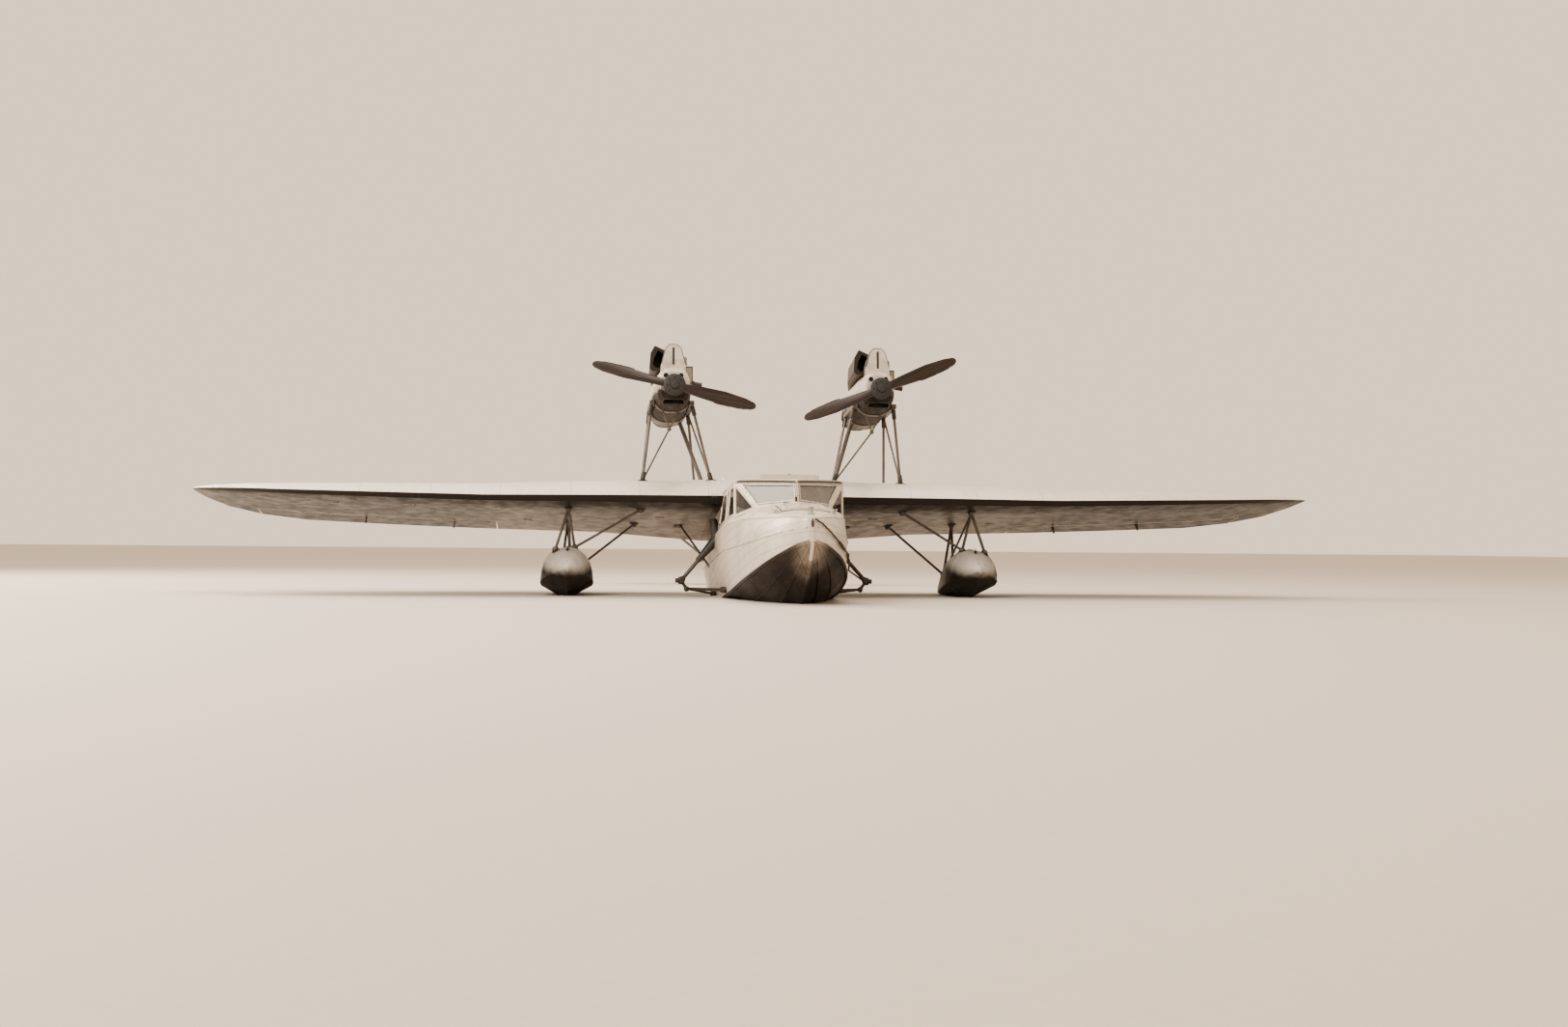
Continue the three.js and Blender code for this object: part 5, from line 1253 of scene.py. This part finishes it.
SHOULDER, KNEE, FOOT = (690, 450, 1086), (893, 402, 846), (1112, 350, 584)
LINK_FOOT, FRONT_LINK, REAR_LINK = (1046, 370, 486), (600, -330, 420), (610, 900, 460)
BRACE_TOP, BRACE_FOOT = (1070, 1600, 1430), (690, 1150, 800)
for side, sign in SIDES:
    shoulder, knee, foot, link, front, rear, brace = (at(x * sign, y, z)
            for x, y, z in (SHOULDER, KNEE, FOOT, LINK_FOOT, FRONT_LINK, REAR_LINK, BRACE_FOOT))
    gear = Form()
    casing = at(724 * sign, 430, 1345)
    run = (casing - shoulder).normalized()
    gear.lathe(shoulder - run * 0.02, run, [(0, 42), (16, 60), (120, 58), (250, 46), (270, 40)], 20)
    run = (knee - shoulder).normalized()
    gear.lathe(shoulder - run * 0.03, run, [(0, 44), (20, 60), (80, 58), (260, 42), (330, 34), (344, 28)], 20)
    run = (foot - knee).normalized()
    gear.lathe(knee - run * 0.02, run, [(0, 28), (8, 34), (40, 34), (50, 28)], 20)
    gear.lathe(foot - run * 0.05, run, [(0, 27), (10, 34), (52, 37), (74, 32)], 20)
    gear.lathe(at(1126 * sign, 350, 584), (sign, 0, 0), [(0, 30), (3, 46), (13, 46), (18, 31)], 24)
    for a in angles(6):
        gear.bolt((1139 * sign, 350 + 38 * cos(a), 584 + 38 * sin(a)), (sign, 0, 0), 5, 5)
    for end in (front, rear):
        run = (link - end).normalized()
        gear.lathe(end + run * 0.05, run, [(0, 26), (8, 36), (60, 38), (96, 34), (106, 26)], 20)
    gear.done(f"gear_cuffs_{side}", STRUT)
    hooks = Form()
    top = at(BRACE_TOP[0] * sign, *BRACE_TOP[1:])
    run = (brace - top).normalized()
    middle = top.lerp(brace, 0.72)
    hooks.lathe(middle, run, [(0, 12), (6, 19), (60, 19), (66, 12)], 12)
    hooks.tube([middle + run * 0.03 + toward(0, 0, -1) * d / 1000 + toward(0, -1, 0) * e / 1000
                for d, e in ((0, 0), (30, 8), (52, 24), (60, 44), (50, 60), (36, 64))], 6, 8)
    hooks.done(f"gear_stay_hook_{side}", GREY_STRUT)

# Cabin: seats of a ply pan and back with stuffed hide pads, dials, pedals and levers

SEAT_X = 280
SEAT_ROWS = {"front": -620, "rear": 420}


def rounded(width, depth, corner, steps=5):
    """A rounded outline about a middle, in mm."""
    out = []
    for qx, qy, turn in ((1, 1, 0), (-1, 1, 1), (-1, -1, 2), (1, -1, 3)):
        for k in range(steps):
            a = pi / 2 * (turn + k / (steps - 1))
            out.append((qx * (width / 2 - corner) + corner * cos(a),
                        qy * (depth / 2 - corner) + corner * sin(a)))
    return out


def pad_form(name, width, depth, height):
    """A closed pad form about its own middle, in m: crowned, with its sides drawn in."""
    rings = [[Vector((x * draw / 1000, y * draw / 1000, share * height / 2000))
              for x, y in rounded(width, depth, 46)]
             for share, draw in ((-1, 0.86), (-0.7, 0.97), (0, 1.0), (0.7, 0.97), (1, 0.86))]
    return mesh_of(Form().loft(rings).bm, name)


def stuffed(mesh, reach, channels, half):
    """Swells a pad form as a stuffed cover does, then presses in its sewn channels."""
    pad = linked(mesh.name + "_form", mesh)
    even = pad.modifiers.new("even", "REMESH")
    even.mode = "VOXEL"
    even.voxel_size = 0.006
    start = evaluated(pad)
    pad.modifiers.clear()
    pad.data = start
    before = [v.co.copy() for v in start.vertices]
    cover = pad.modifiers.new("cover", "CLOTH")
    cover.settings.use_pressure = True
    cover.settings.uniform_pressure_force = 4
    cover.settings.effector_weights.gravity = 0
    for step in range(1, 21):
        scene.frame_set(step)
    swollen = evaluated(pad)
    scene.frame_set(1)
    pad.modifiers.clear()
    pad.data = swollen
    result = pad.data
    for vertex, was in zip(result.vertices, before):
        moved = vertex.co - was
        if moved.length > reach:
            vertex.co = was + moved * (reach / moved.length)
        if vertex.co.z > 0:
            for y in channels:
                dip = exp(-((vertex.co.y - y) / 0.009) ** 2)
                vertex.co.z -= dip * 0.01 * min(1, (half - abs(vertex.co.x)) / 0.03)
    finer = pad.modifiers.new("finer", "SUBSURF")
    finer.levels = finer.render_levels = 1
    done = evaluated(pad)
    bpy.data.objects.remove(pad)
    for polygon in done.polygons:
        polygon.use_smooth = True
    return done


def upholster(name, mesh, middle, lean):
    """Places a copy of a stuffed pad about its middle, leant back, and pipes its edge."""
    copy = mesh.copy()
    copy.name = name
    turn = Matrix.Translation(at(*middle)) @ Matrix.Rotation(lean - TRIM, 4, "X")
    copy.transform(turn)
    finished(name, copy, LEATHER)
    tree = BVHTree.FromPolygons([v.co for v in copy.vertices], [p.vertices for p in copy.polygons])
    axis = (turn.to_3x3() @ Vector(UP)).normalized()
    path = []
    for a in angles(72, 1):
        away = (turn.to_3x3() @ Vector((cos(a), sin(a), 0))).normalized()
        centre = turn.translation + axis * 0.012
        place, facing, _, _ = tree.ray_cast(centre + away * 0.6, -away)
        if place is not None:
            path.append((place, facing))
    strip(name + "_piping", [path], LEATHER, 9, 9, 4)


base_pad = stuffed(pad_form("seat_pad", 378, 340, 74), 0.02, (-0.09, -0.03, 0.03, 0.09), 0.19)
back_pad = stuffed(pad_form("back_pad", 372, 470, 46), 0.018, (-0.14, -0.07, 0.0, 0.07, 0.14), 0.186)
for side, sign in SIDES:
    for row, y in SEAT_ROWS.items():
        x0 = SEAT_X * sign
        shell = Form()
        shell.loft([[(x0 + a * s, y - 20 + b * s, z) for a, b in rounded(404, 404, 40)]
                    for z, s in ((496, 0.86), (520, 0.88), (690, 0.985), (712, 1.0), (716, 0.98))])
        back = [(x0 + a, y + 222, 1010 + b) for a, b in rounded(396, 620, 90)]
        shell.slab(back, 16, 4)
        shell.tube(back + back[:1], 9, 8)
        for flank in (-1, 1):
            shell.rod((x0 + 196 * flank, y - 190, 716), (x0 + 196 * flank, y + 224, 860), 11, 10)
        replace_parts(shell.done(f"seat_shell_{row}_{side}", BOARDS, slot="seat_leather"),
                    f"seat_{row}_{side}")
        upholster(f"seat_pad_{row}_{side}", base_pad, (x0, y - 40, 752), radians(2))
        upholster(f"back_pad_{row}_{side}", back_pad, (x0, y + 188, 1040), radians(90))

PANEL_FACE = -1372
dials, faces, marks = Form(), Form(), Form()
for x, z, radius in ((-330, 1040, 44), (-220, 1052, 40), (-110, 1040, 46), (0, 1052, 40), (110, 1040, 46),
                     (220, 1052, 40), (330, 1040, 44), (-60, 940, 30), (60, 940, 30)):
    dials.lathe((x, PANEL_FACE, z), AFT,
                [(-2, radius), (6, radius), (9, radius - 3), (9, radius - 7), (4, radius - 8)], 28)
    faces.lathe((x, PANEL_FACE, z), AFT, [(-1, radius - 9), (4.5, radius - 9)], 28)
    marks.slab([(x - 2, -1366, z - 8), (x + 2, -1366, z - 8), (x + 1, -1366, z + radius - 16),
                (x - 1, -1366, z + radius - 16)], 1)
    near, far = radius - 15, radius - 11
    for a in angles(12):
        marks.rod((x + near * sin(a), -1366.5, z + near * cos(a)),
                  (x + far * sin(a), -1366.5, z + far * cos(a)), 1.2, 6)
dials.done("dial_bezels", FITTING, slot="panel_paint")
faces.done("dial_faces", DIAL)
marks.done("dial_marks", PALE_STRUT, slot="panel_paint")
controls = Form()
for sign in (-1, 1):
    for foot in (-1, 1):
        x = 270 * sign + 85 * foot
        controls.slab([(x - 36, -1330, 600), (x + 36, -1330, 600), (x + 36, -1300, 700),
                       (x - 36, -1300, 700)], 12, 3)
        controls.rod((x, -1320, 496), (x, -1318, 610), 9)
    controls.rod((270 * sign - 85, -1322, 540), (270 * sign + 85, -1322, 540), 8)
for x in (-24, 24):
    controls.rod((x, -1340, 900), (x, -1270, 1010), 6)
    controls.lathe((x, -1270, 1010), (0, 0.5, 0.8), [(-14, 6), (-8, 15), (6, 17), (14, 8)], 14)
controls.done("pedals_and_levers", STRUT, slot="panel_paint")

# Studio

floor_mesh = bpy.data.meshes.new("studio_floor")
floor_mesh.from_pydata([(-90, -60, 0), (90, -60, 0), (90, 160, 0), (-90, 160, 0)], [], [(0, 1, 2, 3)])
floor_paint = Finish("floor_paint")
tooth = floor_paint.noise(30, 3)
floor_paint.surface(floor_paint.mix((0.6, 0.545, 0.485), (0.64, 0.585, 0.52), tooth), 0.75,
                    (tooth, 0.002, 0.2))
floor_mesh.materials.append(floor_paint.material)
linked("studio_floor", floor_mesh)

world = bpy.data.worlds.new("studio_air")
world.use_nodes = True
air = world.node_tree.nodes["Background"].inputs
air["Color"].default_value = (1.0, 0.81, 0.63, 1)
air["Strength"].default_value = 1.04
scene.world = world


def softbox(name, place, target, size, power, tone=(1, 0.965, 0.92)):
    """A large soft light aimed at a point."""
    light = bpy.data.lights.new(name, "AREA")
    light.shape = "RECTANGLE"
    light.size, light.size_y = size
    light.energy = power
    light.color = tone
    box = linked(name, light)
    box.location = place
    box.rotation_mode = "QUATERNION"
    box.rotation_quaternion = (Vector(target) - Vector(place)).to_track_quat("-Z", "Y")


softbox("key_light", (-12, -15, 13), (0, 0, 1.2), (8, 8), 2500)
softbox("sky_light", (0, 2, 17), (0, 1, 0), (20, 16), 1300)
softbox("screen_glow", (-15, 7, 10.5), (0, -1.6, 1.3), (14, 10), 3400, (1, 0.9, 0.78))

view = scene.view_settings
view.view_transform = "AgX"
view.look = "AgX - Medium High Contrast"
view.exposure = 0.05
